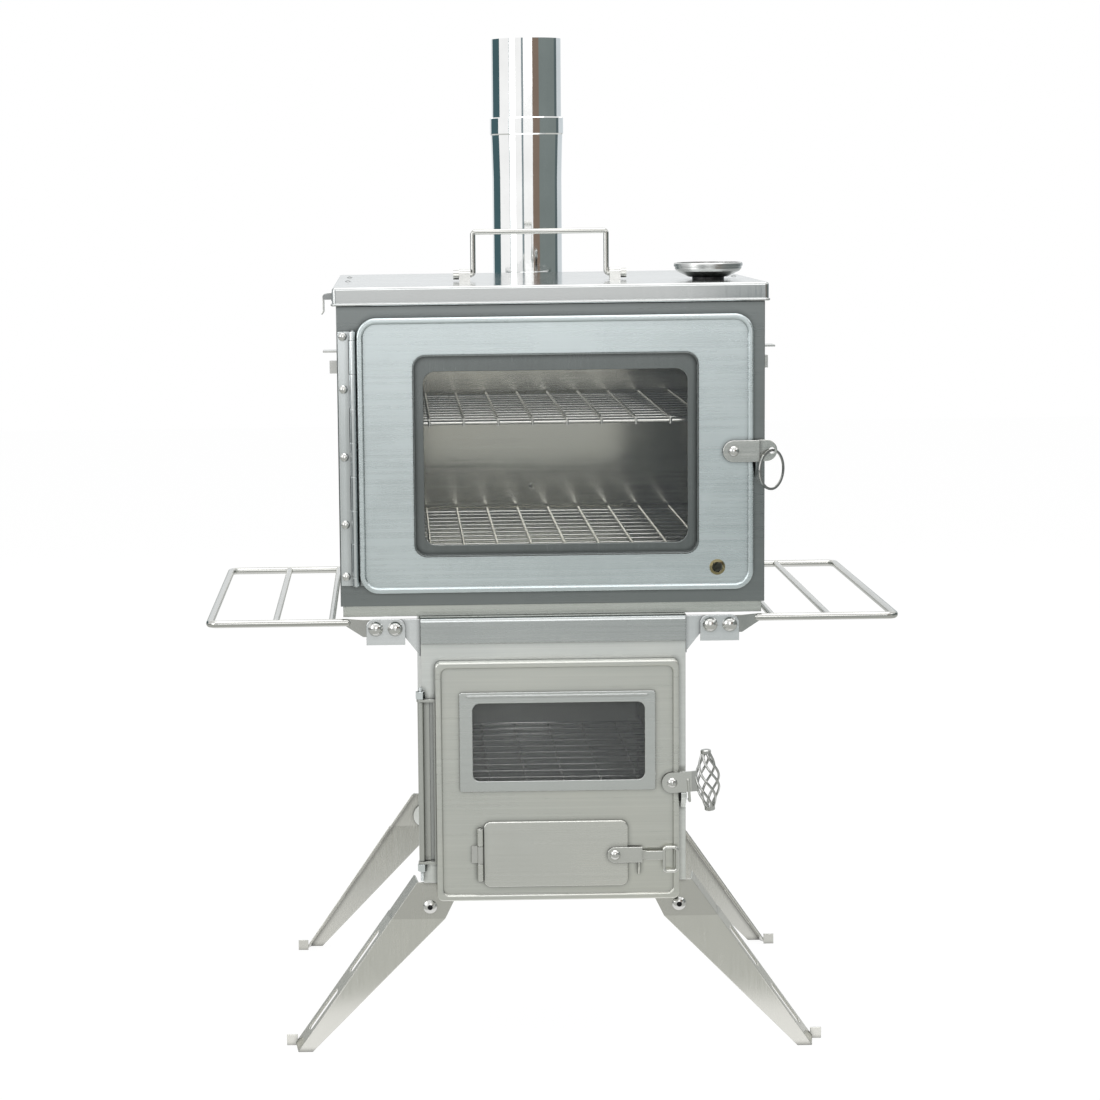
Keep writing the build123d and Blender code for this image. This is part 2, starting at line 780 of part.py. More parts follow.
def stove_door_hinge_bracket():
    """Long strap on the door's left edge with a lug at each end."""
    x1 = door_left - 0.05
    x0 = x1 - wall_t
    z0 = lug_low_z - lug_t / 2
    z1 = lug_high_z + lug_t / 2
    strap = slab(x0, x1, barrel_y - 4.5, door_back - 0.4, z0, z1)
    for z in (lug_low_z, lug_high_z):
        reach = outline((hinge_x, barrel_y - lug_r), (x1, barrel_y - 4.5), (x1, door_back - 0.4),
                        (hinge_x, barrel_y + lug_r - 0.6))
        plate = extrude(Pos(hinge_x, barrel_y) * Circle(lug_r), lug_t) + extrude(reach, lug_t)
        strap += Pos(0, 0, z - lug_t / 2) * plate
    strap = strap - rod_z(hinge_x, barrel_y, z0 - 1, z1 + 1, pin_r + run_gap)
    return strap


# ---- ash door and its lever ----
ash_back = door_face - face_gap
ash_face = ash_back - ash_t
ash_hinge_x = ash_x - ash_w / 2 - ash_barrel_r - 0.4
ash_hinge_y = ash_back - ash_barrel_r + 0.2


def ash_knuckle(z0, z1, to_door):
    """One knuckle of the ash door's hinge with its leaf."""
    tube = rod_z(ash_hinge_x, ash_hinge_y, z0, z1, ash_barrel_r)
    if to_door:
        leaf = slab(ash_hinge_x, ash_x - ash_w / 2 + 0.5, ash_back - 1.2, ash_back, z0, z1)
    else:
        leaf = slab(ash_hinge_x - 7.0, ash_hinge_x, ash_back - 0.9, door_face, z0, z1)
    return tube + leaf - rod_z(ash_hinge_x, ash_hinge_y, z0 - 1, z1 + 1, ash_pin_r + run_gap)


def ash_hinge_levels():
    """Heights of the joints between the three knuckles."""
    third = ash_hinge_h / 3
    z0 = ash_z - ash_hinge_h / 2
    return [(z0 + i * third + 0.2, z0 + (i + 1) * third - 0.2) for i in range(3)]


def ash_door():
    """Flat plate with softened edges and the two outer knuckles."""
    plate = upright(window(ash_x, ash_z, ash_w, ash_h, ash_corner), ash_face, ash_back)
    plate = fillet(plate.edges().filter_by(lambda e: e.center().Y < ash_face + 0.05), 0.8)
    levels = ash_hinge_levels()
    plate += ash_knuckle(*levels[0], True) + ash_knuckle(*levels[2], True)
    return plate - rod_y(ash_rivet_x, ash_face - 2, ash_back + 2, ash_rivet_z, rivet_shank_r)


def ash_hinge_knuckle():
    return ash_knuckle(*ash_hinge_levels()[1], False)


def ash_hinge_pin():
    z0 = ash_z - ash_hinge_h / 2
    return rod_z(ash_hinge_x, ash_hinge_y, z0 - 0.6, z0 + ash_hinge_h + 0.6, ash_pin_r)


ash_lever_back = ash_face - face_gap
ash_lever_face = ash_lever_back - 1.8


def ash_latch_rivet():
    """Dome rivet that carries the lever, its tail flush inside the ash door."""
    return front_rivet(ash_rivet_x, ash_rivet_z, ash_lever_face - face_gap / 2, ash_back, rivet_shank_r)


def ash_lever():
    """Rounded strap, a step outwards, a narrow link and a bent loop handle."""
    y0, y1 = ash_lever_face, ash_lever_back
    r = ash_lever_w / 2
    strap = Pos(ash_rivet_x, ash_rivet_z) * Circle(r)
    strap += Pos((ash_rivet_x + ash_lever_x1) / 2, ash_rivet_z) * Rectangle(ash_lever_x1 - ash_rivet_x, 2 * r)
    lever = upright(strap, y0, y1)
    step_x = ash_lever_x1 + ash_step
    side = make_face(Polyline((ash_lever_x1 - 1.8, y1), (ash_lever_x1 - 1.8, y0), (ash_lever_x1, y0),
                              (step_x, y0 - ash_step), (ash_link_x1, y0 - ash_step),
                              (ash_link_x1, y1 - ash_step), (step_x + 0.6, y1 - ash_step),
                              (ash_lever_x1 + 0.6, y1), close=True))
    link = Pos(0, 0, ash_rivet_z - ash_link_w / 2) * extrude(side, ash_link_w)
    loop_y = (y0 + y1) / 2 - ash_step
    loop_x = ash_link_x1 + loop_w / 2
    centre_z = ash_rivet_z - ash_link_w / 2
    plane = Plane(origin=(loop_x, loop_y, centre_z), x_dir=(1, 0, 0), z_dir=(0, -1, 0))
    path = (plane * RectangleRounded(loop_w, loop_h, 2.6)).wire()
    start = Plane(origin=path @ 0, z_dir=path % 0)
    loop = sweep(start * Circle(loop_r), path=path)
    hole = rod_y(ash_rivet_x, y0 - 2, y1 + 2, ash_rivet_z, rivet_shank_r + run_gap)
    return lever + link + loop - hole


def ash_latch_catch():
    """Small ear on the door face that carries the lever's lower edge."""
    z1 = ash_rivet_z - ash_lever_w / 2 - face_gap
    ear = outline((door_face, z1 - 10.0), (door_face, z1), (ash_lever_face, z1), (ash_lever_face, z1 - 3.0),
                  (door_face - 1.5, z1 - 10.0))
    return sideways(ear, ash_catch_x - catch_t / 2, ash_catch_x + catch_t / 2)


# ---- stove door latch ----
latch_back = rim_face - face_gap
latch_face = latch_back - latch_t
cage_y = (latch_face + latch_back) / 2
latch_pose = Pos(latch_rivet_x, 0, latch_rivet_z) * Rot(0, -latch_tilt, 0)


def stove_latch_rivet():
    """Dome rivet with a spacing collar between the door face and the strap."""
    rivet = front_rivet(latch_rivet_x, latch_rivet_z, latch_face - face_gap / 2, door_face + wall_t, rivet_shank_r)
    return rivet + rod_y(latch_rivet_x, latch_back + face_gap / 2, door_face, latch_rivet_z, rivet_head_r)


def cage_wire(turn):
    """One wire of the cage: it leaves the upper cap, bulges and winds round to the lower cap."""
    count = 8
    points = []
    for i in range(count + 1):
        t = i / count
        r = cage_end_r + (cage_r - cage_end_r) * sin(pi * t) ** 1.15
        angle = radians(turn - cage_twist * t)
        points.append((r * cos(angle), r * sin(angle), (t - 0.5) * cage_h))
    path = Spline(*points)
    start = Plane(origin=path @ 0, z_dir=path % 0)
    return sweep(start * Circle(cage_wire_r), path=path)


def spiral_cage():
    """Twisted wires between two turned caps."""
    cage = Pos(0, 0, cage_h / 2) * Cylinder(cap_r, cap_h) + Pos(0, 0, -cage_h / 2) * Cylinder(cap_r, cap_h)
    cage = chamfer(cage.edges().filter_by(GeomType.CIRCLE), 0.7)
    for i in range(cage_wires):
        cage += cage_wire(i * 360.0 / cage_wires)
    return cage


def stove_latch_handle():
    """Strap with a hanging hook wire, welded to the spiral cage."""
    r = latch_w / 2
    end = cage_reach - cage_r + 0.4
    shape = Circle(r) + Pos(end / 2, 0) * Rectangle(end, 2 * r)
    strap = upright(shape, latch_face, latch_back)
    strap -= rod_y(0, latch_face - 1, latch_back + 1, 0, rivet_shank_r + run_gap)
    hook_y = latch_face - hook_r + 0.3
    hook = rod_z(hook_x, hook_y, 1.5 - hook_h, 1.5, hook_r) + Pos(hook_x, hook_y, 1.5) * Sphere(hook_r)
    hook += rod_y(hook_x, hook_y, hook_y + 7.0, 1.5 - hook_h, hook_r)
    hook += Pos(hook_x, hook_y, 1.5 - hook_h) * Sphere(hook_r)
    cage = Pos(cage_reach, cage_y, 0) * spiral_cage()
    return latch_pose * (strap + hook + cage)


def stove_latch_catch():
    """Ear on the front frame's right edge that the strap rests on."""
    x0 = door_right + 1.3
    dx = x0 + catch_w / 2 - latch_rivet_x
    z1 = latch_rivet_z + dx * tan(radians(latch_tilt)) - latch_w / 2 / cos(radians(latch_tilt)) - 0.5
    ear = outline((frame_y, z1 - 14.0), (frame_y, z1), (latch_face, z1), (latch_face, z1 - 4.0),
                  (frame_y - 3.0, z1 - 14.0))
    return sideways(ear, x0, x0 + catch_w)


# ---- side shelves (left one, mirrored for the right) ----
tab_y = leg_face_y - 0.5
arm_y0 = tab_y + tab_t + face_gap
arm_mid = arm_y0 + arm_t / 2
shelf_y1 = arm_mid + shelf_depth
rod_z_level = shelf_pivot_z + rod_above


def shelf_arm():
    """Flattened end of the front rod: it tapers from the rod and ends round about the pivot."""
    r = arm_h / 2
    shape = outline((-arm_rod_x, rod_z_level - rod_r + 0.2), (-arm_rod_x, rod_z_level + rod_r - 0.2),
                    (-arm_tip_x, shelf_pivot_z + r), (-rod_pivot_x, shelf_pivot_z + r),
                    (-rod_pivot_x, shelf_pivot_z - r), (-arm_tip_x, shelf_pivot_z - r))
    shape += Pos(-rod_pivot_x, shelf_pivot_z) * Circle(r)
    arm = upright(shape, arm_y0, arm_y0 + arm_t)
    return arm - rod_y(-rod_pivot_x, arm_y0 - 1, arm_y0 + arm_t + 1, shelf_pivot_z, rivet_shank_r + 1 + run_gap)


def shelf_left():
    """Bent outer rod, two cross rods and the two flattened arms."""
    corner = 7.0
    end_x = -arm_rod_x + 1.0
    path = FilletPolyline((end_x, arm_mid, rod_z_level), (-shelf_out_x, arm_mid, rod_z_level),
                          (-shelf_out_x, shelf_y1, rod_z_level), (end_x, shelf_y1, rod_z_level),
                          radius=corner)
    start = Plane(origin=path @ 0, z_dir=path % 0)
    frame = sweep(start * Circle(rod_r), path=path)
    for y in (arm_mid, shelf_y1):
        frame += Pos(end_x, y, rod_z_level) * Sphere(rod_r)
    for x in (shelf_mid_x, shelf_in_x):
        frame += rod_y(-x, arm_mid, shelf_y1, rod_z_level, cross_rod_r)
    front = shelf_arm()
    middle = (arm_mid + shelf_y1) / 2
    back = mirror(front, about=Plane(origin=(0, middle, 0), z_dir=(0, 1, 0)))
    return frame + front + back


def rear_copy(piece):
    """The rear twin of a front shelf fitting."""
    middle = (arm_mid + shelf_y1) / 2
    return mirror(piece, about=Plane(origin=(0, middle, 0), z_dir=(0, 1, 0)))


def shelf_corners(piece):
    """A front left shelf fitting and its three copies."""
    return [piece, mirror_x(piece), rear_copy(piece), mirror_x(rear_copy(piece))]


def shelf_tab():
    """Fish plate with rounded upper corners that carries the pivot and the fixed rivet."""
    z1 = shelf_pivot_z + tab_top
    z0 = z1 - tab_h
    c = tab_corner
    x0, x1 = -tab_x - tab_w / 2, -tab_x + tab_w / 2
    q = c * (1 - cos(radians(45)))
    edges = Polyline((x0, z1 - c), (x0, z0), (x1, z0), (x1, z1 - c))
    edges += ThreePointArc((x1, z1 - c), (x1 - q, z1 - q), (x1 - c, z1))
    edges += Line((x1 - c, z1), (x0 + c, z1))
    edges += ThreePointArc((x0 + c, z1), (x0 + q, z1 - q), (x0, z1 - c))
    tab = upright(make_face(edges), tab_y, tab_y + tab_t)
    for x in (rod_pivot_x, fix_rivet_x):
        tab -= rod_y(-x, tab_y - 1, tab_y + tab_t + 1, shelf_pivot_z, rivet_shank_r + 1)
    return tab


def shelf_gusset():
    """Plate behind the tab with a flange on the body's side."""
    z1 = shelf_pivot_z + tab_top - 0.6
    shape = outline((-half_w - 0.1, z1), (-gusset_out_x, z1), (-gusset_out_x, z1 - 15.0),
                    (-gusset_out_x + 13.0, z1 - 15.0), (-half_w - 0.1, z1 - gusset_in_h))
    gusset = upright(shape, arm_y0, arm_y0 + arm_t)
    gusset += slab(-half_w - 0.1 - wall_t, -half_w - 0.1, arm_y0, arm_y0 + 16.0, z1 - gusset_in_h, z1)
    return gusset - rod_y(-fix_rivet_x, arm_y0 - 1, arm_y0 + arm_t + 1, shelf_pivot_z, rivet_shank_r + 1)


def shelf_rivet_pair():
    """The two dome rivets of a tab: the outer one is the shelf's pivot."""
    head_y = tab_y
    tail_y = arm_y0 + arm_t
    pair = []
    for x, tail in ((rod_pivot_x, tail_y + face_gap), (fix_rivet_x, tail_y)):
        rivet = front_rivet(-x, shelf_pivot_z, head_y, tail, rivet_shank_r + 1, dome_r, dome_h)
        pair.append(rivet + rod_y(-x, tail, tail + 1.2, shelf_pivot_z, dome_r - 1.2))
    return pair


# ---- oven shell ----
def oven_base():
    """Upturned shallow pan: the oven's floor with a skirt that stands on the stove top."""
    x = oven_half - base_inset
    y0 = oven_y + base_front
    y1 = oven_back_y
    pan = slab(-x, x, y0, y1, top_z, oven_z)
    return pan - slab(-x + oven_t, x - oven_t, y0 + oven_t, y1 - oven_t, top_z - 1, oven_z - oven_t)


def oven_front_panel():
    """Front face with the rounded port and a return flange down each side."""
    z1 = oven_z + panel_h
    face = Pos(0, (oven_z + z1) / 2) * Rectangle(oven_w, panel_h)
    port = window(port_x, port_z, port_w, port_h, recess_corner)
    panel = upright(face - port, oven_y, oven_y + oven_t)
    x1 = oven_half - oven_t - 0.1
    for side in (-1, 1):
        lo, hi = sorted((side * (x1 - oven_t), side * x1))
        panel += slab(lo, hi, oven_y + oven_t, oven_y + 14.0, oven_z, z1)
    for z in screw_zs:
        panel -= rod_y(screw_x, oven_y - 1, oven_y + 20, z, 1.4)
    return panel + oven_latch_catch()


def oven_side(sign):
    """Side wall with an inward hem along its top edge."""
    x0, x1 = sorted((sign * (oven_half - oven_t), sign * oven_half))
    y0 = oven_y + oven_t + 0.05
    z1 = lid_under
    wall = slab(x0, x1, y0, oven_back_y - oven_t - 0.05, oven_z, z1)
    lo, hi = sorted((sign * (oven_half - 5.0), sign * oven_half))
    return wall + slab(lo, hi, y0 + 20.0, oven_back_y - 20.0, z1 - oven_t, z1)


def oven_back():
    """Back wall with a flange on each side and a small hole for the probe."""
    z1 = lid_under
    wall = slab(-oven_half, oven_half, oven_back_y - oven_t, oven_back_y, oven_z, z1)
    x1 = oven_half - oven_t - 0.1
    for side in (-1, 1):
        lo, hi = sorted((side * (x1 - oven_t), side * x1))
        wall += slab(lo, hi, oven_back_y - 14.0, oven_back_y - oven_t, oven_z, z1 - 6.0)
    return wall - rod_y(0, oven_back_y - 3, oven_back_y + 1, rack_low_z + 21.0, 2.5)


def rack_ledges():
    """Four angle ledges: one under each end of both racks."""
    x1 = oven_half - oven_t - 0.1
    y0 = oven_y + rack_front + 3.0
    y1 = oven_y + rack_front + rack_d - rack_play - 3.0
    ledges = []
    for level in (rack_low_z, rack_high_z):
        z1 = level - rack_wire_r
        for side in (-1, 1):
            lo, hi = sorted((side * (x1 - ledge_w), side * x1))
            shelf = slab(lo, hi, y0, y1, z1 - oven_t, z1)
            lo, hi = sorted((side * (x1 - oven_t), side * x1))
            ledges.append(shelf + slab(lo, hi, y0, y1, z1 - ledge_h, z1))
    return ledges


def rack(level):
    """Wire rack: two end bars, long wires between them, cross wires on top with turned-down tips."""
    half = rack_w / 2
    y0 = oven_y + rack_front
    y1 = y0 + rack_d
    bar_z = level + rack_wire_r + weld_depth - rack_bar_r
    wires = [rod_x(-half, half, y, bar_z, rack_bar_r) for y in (y0, y1)]
    step = (y1 - y0) / (rack_wire_n + 1)
    wires += [rod_x(-half, half, y0 + i * step, level, rack_wire_r) for i in range(1, rack_wire_n + 1)]
    cross_z = level + rack_wire_r + rack_cross_r - weld_depth / 2
    first = -(rack_cross_n - 1) / 2 * rack_pitch
    tip_y = y0 - rack_bar_r - rack_cross_r + weld_depth / 2
    for i in range(rack_cross_n):
        x = first + i * rack_pitch
        wire = rod_y(x, tip_y, y1 + rack_bar_r, cross_z, rack_cross_r)
        wire += rod_z(x, tip_y, cross_z - rack_tip, cross_z, rack_cross_r)
        wires.append(wire)
    return Part() + wires


# ---- piano hinge ----
leaf_back = oven_y - 0.1
knuckle_y = leaf_back - knuckle_r


def knuckle_spans():
    """Heights of all knuckles from bottom to top: a short one at each end, equal ones between."""
    pitch = (hinge_z1 - hinge_z0 - 2 * knuckle_end) / knuckle_n
    marks = [hinge_z0] + [hinge_z0 + knuckle_end + i * pitch for i in range(knuckle_n + 1)] + [hinge_z1]
    return [(a + 0.15, b - 0.15) for a, b in zip(marks, marks[1:])]


def hinge_leaf(x0, x1, first):
    """Every second knuckle with the leaf that carries them."""
    z0, z1 = hinge_z0 + 0.15, hinge_z1 - 0.15
    leaf = slab(x0, x1, leaf_back - leaf_t, leaf_back, z0, z1)
    spans = knuckle_spans()
    for i, (a, b) in enumerate(spans):
        if i % 2 == first:
            leaf += rod_z(knuckle_axis_x, knuckle_y, a, b, knuckle_r)
        else:
            leaf -= slab(knuckle_axis_x - knuckle_r - 0.4, knuckle_axis_x + knuckle_r + 0.4,
                         leaf_back - 2 * leaf_t, leaf_back + 1, a - 0.3, b + 0.3)
    return leaf - rod_z(knuckle_axis_x, knuckle_y, z0 - 1, z1 + 1, hinge_pin_r + run_gap)


def oven_frame_leaf():
    leaf = hinge_leaf(leaf_edge_x, knuckle_axis_x, 0)
    for z in screw_zs:
        leaf -= rod_y(screw_x, leaf_back - 5, leaf_back + 1, z, 1.4)
    return leaf


def oven_door_leaf():
    return hinge_leaf(knuckle_axis_x, knuckle_axis_x + door_leaf_w, 1)


def oven_hinge_pin():
    return rod_z(knuckle_axis_x, knuckle_y, hinge_z0 - 0.8, hinge_z1 + 0.8, hinge_pin_r)


def oven_hinge_screws():
    """Dome screws through the frame leaf and the front panel."""
    face = leaf_back - leaf_t
    return [front_rivet(screw_x, z, face, oven_y + oven_t + 1.0, 1.4, screw_r, screw_head_h)
            for z in screw_zs]


# ---- oven door ----
odoor_back = oven_y - odoor_gap
odoor_face = odoor_back - odoor_depth
odoor_rim = odoor_face - odoor_rim_h


def oven_door_panel():
    """Pressed pan with a rolled rim, an inward lip at the back and the hole for the window frame."""
    def shape(inset, corner=odoor_corner):
        return window(odoor_cx, odoor_cz, odoor_w - 2 * inset, odoor_h - 2 * inset, corner - min(inset, corner - 1))

    pan = upright(shape(0), odoor_face, odoor_back)
    pan -= upright(shape(oven_t), odoor_face + oven_t, odoor_back - oven_t)
    pan -= upright(shape(odoor_lip), odoor_back - 2 * oven_t, odoor_back + 1)
    bead = upright(shape(0) - shape(odoor_rim_w), odoor_rim, odoor_face)
    bead = fillet(bead.edges().filter_by(lambda e: e.center().Y < odoor_rim + 0.1), odoor_rim_h * 0.9)
    pan += bead
    pan -= upright(window(recess_x, recess_z, recess_w, recess_h, recess_corner), odoor_face - 1, odoor_face + 3)
    pan -= rod_y(olatch_x, odoor_face - 5, odoor_face + 3, olatch_z, rivet_shank_r)
    return pan - rod_y(vent_x, odoor_face - 5, odoor_face + 3, vent_z, vent_bore + 0.8)


def oven_window_frame():
    """Stepped frame: a collar in the door's hole and an inner flange that the pane lies against."""
    collar = window(recess_x, recess_z, recess_w - 0.1, recess_h - 0.1, recess_corner)
    hole = window(glass_x, glass_z, glass_w, glass_h, glass_corner)
    inner = window(recess_x, recess_z, recess_w - 2 * oven_t, recess_h - 2 * oven_t, recess_corner - oven_t)
    y_step = odoor_face + recess_depth
    frame = upright(collar - inner, odoor_face - 0.6, y_step)
    return frame + upright(collar - hole, y_step - oven_t, y_step)


def oven_window_glass():
    y0 = odoor_face + recess_depth + 0.1
    pane = window(glass_x, glass_z, glass_w + 2 * glass_lap, glass_h + 2 * glass_lap, glass_corner)
    return upright(pane, y0, y0 + glass_t)


def vent_eyelet():
    """Rolled eyelet round the small vent hole in the door's lower corner."""
    body = dome(vent_x, odoor_face, vent_z, vent_r, 1.6)
    body += rod_y(vent_x, odoor_face - 0.5, odoor_face + oven_t, vent_z, vent_bore + 0.8)
    body += rod_y(vent_x, odoor_face + oven_t, odoor_face + 2 * oven_t, vent_z, vent_r - 0.3)
    return body - rod_y(vent_x, odoor_face - 5, odoor_face + 5, vent_z, vent_bore)


# ---- oven latch ----
olatch_back = odoor_rim - face_gap
olatch_face = olatch_back - olatch_t


def oven_latch_rivet():
    rivet = front_rivet(olatch_x, olatch_z, olatch_face - face_gap / 2, odoor_face + oven_t, rivet_shank_r)
    return rivet + rod_y(olatch_x, olatch_back + face_gap / 2, odoor_face, olatch_z, rivet_head_r)


def oven_latch_strap():
    """Rounded strap over the door's edge with a fold and a round ear for the pull ring."""
    r = olatch_w / 2
    shape = Pos(olatch_x, olatch_z) * Circle(r)
    shape += Pos((olatch_x + olatch_fold_x) / 2, olatch_z) * Rectangle(olatch_fold_x - olatch_x, olatch_w)
    strap = upright(shape, olatch_face, olatch_back)
    step_y = olatch_back + olatch_fold
    web = slab(olatch_fold_x - olatch_t, olatch_fold_x, olatch_face, step_y, olatch_z - r, olatch_z + r)
    ear = Pos(olatch_tab_x, olatch_z) * Circle(r)
    ear = ear & Pos(olatch_tab_x + r / 2 - 2, olatch_z) * Rectangle(2 * r, 2 * r)
    ear += Pos((olatch_fold_x - olatch_t + olatch_tab_x) / 2, olatch_z) * Rectangle(
        olatch_tab_x - olatch_fold_x + olatch_t, olatch_w)
    strap = strap + web + upright(ear, step_y - olatch_t, step_y)
    strap -= rod_y(olatch_x, olatch_face - 1, olatch_back + 1, olatch_z, rivet_shank_r + run_gap)
    return strap - rod_y(olatch_hole_x, olatch_face - 1, step_y + 1, olatch_z, olatch_hole_r)


def latch_ring():
    """Flat pull ring through the strap's hole, hanging turned away from the door's plane."""
    centre = Pos(olatch_hole_x, olatch_back + olatch_fold - olatch_t / 2, olatch_z - ring_r + ring_w / 2)
    ring = Cylinder(ring_r, ring_t) - Cylinder(ring_r - ring_w, 2 * ring_t)
    return centre * Rot(0, 0, ring_turn) * Rot(90, 0, 0) * ring


def oven_latch_catch():
    """Thin ear on the front panel's right margin that the strap rests on."""
    z1 = olatch_z - olatch_w / 2 - face_gap
    ear = outline((oven_y, z1 - 12.0), (oven_y, z1), (olatch_face, z1), (olatch_face, z1 - 3.0),
                  (oven_y - 2.0, z1 - 12.0))
    return sideways(ear, ocatch_x - catch_t / 2, ocatch_x + catch_t / 2)


# ---- lid ----
def oven_lid():
    """Shallow lid with softened top edges, a skirt and a rolled hem."""
    y1 = lid_y0 + lid_d
    z0 = lid_z - lid_skirt
    half = lid_w / 2
    lid = slab(-half, half, lid_y0, y1, z0, lid_z)
    lid = fillet(lid.edges().filter_by(Axis.Z), 3.0)
    lid = fillet(lid.edges().filter_by(lambda e: e.center().Z > lid_z - 0.1), 2.2)
    room = slab(-half + oven_t, half - oven_t, lid_y0 + oven_t, y1 - oven_t, z0 - 1, lid_under)
    lid -= fillet(room.edges().filter_by(Axis.Z), 1.8)
    path = Plane(origin=(0, lid_y0 + lid_d / 2, z0 + lid_hem_r)) * RectangleRounded(lid_w, lid_d, 3.0)
    wire = path.wire()
    hem = sweep(Plane(origin=wire @ 0, z_dir=wire % 0) * Circle(lid_hem_r), path=wire)
    for side in (-1, 1):
        for y in lid_rivet_ys:
            lid -= rod_z(side * lid_rivet_x, lid_y0 + y, lid_under - 1, lid_z + 1, 1.5)
        post_x = bail_x + side * (bail_post_x + bail_post_w / 2)
        lid -= rod_z(post_x, lid_y0 + bail_y, lid_under - 1, lid_z + 1, 1.5)
    return lid + (hem - slab(-half + 0.4, half - 0.4, lid_y0 + 0.4, y1 - 0.4, 0, lid_z))


def lid_rivets():
    """Low dome rivets near the lid's side edges."""
    rivets = []
    for side in (-1, 1):
        for y in lid_rivet_ys:
            cap = Rot(-90, 0, 0) * front_rivet(0, 0, 0, 2.2, 1.5, lid_rivet_r, 1.1)
            rivets.append(Pos(side * lid_rivet_x, lid_y0 + y, lid_z) * cap)
    return rivets


bail_yy = lid_y0 + bail_y
bail_z = lid_z + bail_pivot


def handle_brackets():
    """Two posts riveted to the lid with a bearing hole for the bail's feet."""
    posts = []
    for side in (-1, 1):
        lo, hi = sorted((bail_x + side * bail_post_x, bail_x + side * (bail_post_x + bail_post_w)))
        post = slab(lo, hi, bail_yy - bail_post_d / 2, bail_yy + bail_post_d / 2, lid_z, lid_z + bail_post_h)
        post = fillet(post.edges().filter_by(Axis.X).group_by(Axis.Z)[-1], 3.0)
        post -= rod_x(lo - 1, hi + 1, bail_yy, bail_z, bail_wire_r + run_gap)
        post += rod_z((lo + hi) / 2, bail_yy, lid_under - 0.8, lid_z, 1.5)
        posts.append(post)
    return posts


def lid_handle():
    """Bent wire bail whose feet turn outwards through the posts and end in nuts."""
    foot = bail_post_x + bail_post_w + face_gap + bail_nut_l
    path = FilletPolyline((bail_x - foot, bail_yy, bail_z), (bail_x - bail_half, bail_yy, bail_z),
                          (bail_x - bail_half, bail_yy, bail_z + bail_h), (bail_x + bail_half, bail_yy, bail_z + bail_h),
                          (bail_x + bail_half, bail_yy, bail_z), (bail_x + foot, bail_yy, bail_z),
                          radius=bail_bend)
    bail = sweep(Plane(origin=path @ 0, z_dir=path % 0) * Circle(bail_wire_r), path=path)
    for side in (-1, 1):
        inner = bail_x + side * (bail_post_x + bail_post_w + face_gap)
        lo, hi = sorted((inner, inner + side * bail_nut_l))
        bail += rod_x(lo, hi, bail_yy, bail_z, bail_nut_r)
    return bail


# ---- thermometer ----
thermo_yy = lid_y0 + thermo_y
case_z = lid_z + magnet_h
case_top = case_z + case_h


def turned(pairs, z=0.0):
    """A turned shape about the thermometer's axis from (radius, height) pairs."""
    plane = Plane(origin=(thermo_x, thermo_yy, z), x_dir=(1, 0, 0), z_dir=(0, -1, 0))
    return revolve(plane * outline(*pairs), axis=Axis((thermo_x, thermo_yy, 0), (0, 0, 1)))


def thermometer_magnet():
    return rod_z(thermo_x, thermo_yy, lid_z, case_z, magnet_r)


def thermometer_case():
    """Turned bowl with a stepped bezel round the dial well."""
    inner = case_r - bezel_w
    well = case_h - dial_well
    return turned([(0, 0), (case_low_r, 0), (case_r - 2.6, 4.6), (case_r - 0.9, 6.6), (case_r - 0.9, 8.2),
                   (case_r, 8.6), (case_r, case_h - 0.8), (case_r - 0.8, case_h), (inner, case_h),
                   (inner, case_h - lens_t - 0.1), (inner - 0.8, case_h - lens_t - 0.1),
                   (inner - 0.8, well), (0, well)], case_z)


def thermometer_dial():
    z0 = case_top - dial_well
    return rod_z(thermo_x, thermo_yy, z0, z0 + dial_t, case_r - bezel_w - 1.0)


def thermometer_lens():
    return rod_z(thermo_x, thermo_yy, case_top - lens_t - 0.05, case_top - 0.2, case_r - bezel_w - 0.1)


def thermometer_needle():
    """Tapered pointer on a hub that turns just above the dial."""
    z0 = case_top - dial_well + dial_t + 0.25
    tip = outline((-5.5, needle_w), (-5.5, -needle_w), (needle_l, -0.35), (needle_l, 0.35))
    needle = extrude(tip, 0.5) + extrude(Circle(hub_r), 1.1)
    return Pos(thermo_x, thermo_yy, z0) * Rot(0, 0, 125) * needle


# ---- hasp and side tabs ----
hasp_yy = oven_y + hasp_y


def lid_hasp_bracket():
    """Two ears with a pin on the lid's left skirt."""
    half = hasp_w / 2
    x1 = -lid_w / 2 - 0.02
    plate = slab(x1 - 1.2, x1, hasp_yy - half - ear_w, hasp_yy + half + ear_w, hasp_z - 3.2, hasp_z + 3.0)
    for side in (-1, 1):
        lo, hi = sorted((hasp_yy + side * (half + face_gap), hasp_yy + side * (half + ear_w)))
        plate += rod_y(hasp_x, lo, hi, hasp_z, hasp_r) + slab(hasp_x, x1, lo, hi, hasp_z - hasp_r, hasp_z + hasp_r)
    return plate + rod_y(hasp_x, hasp_yy - half - 1, hasp_yy + half + 1, hasp_z, hasp_pin_r)


def lid_hasp():
    """Hanging plate with a barrel round the pin and a hooked lower end."""
    half = hasp_w / 2
    hasp = rod_y(hasp_x, hasp_yy - half, hasp_yy + half, hasp_z, hasp_r)
    x0 = hasp_x - hasp_r
    z0 = hasp_z - hasp_l
    profile = make_face(Polyline((x0, hasp_z), (x0, z0 + 2.0), (x0 - 1.4, z0), (x0 - 0.6, z0 - 0.9),
                                 (x0 + 1.2, z0 + 1.4), (x0 + 1.2, hasp_z), close=True))
    plate = upright(profile, hasp_yy - half, hasp_yy + half)
    return hasp + plate - rod_y(hasp_x, hasp_yy - half - 1, hasp_yy + half + 1, hasp_z, hasp_pin_r + run_gap)


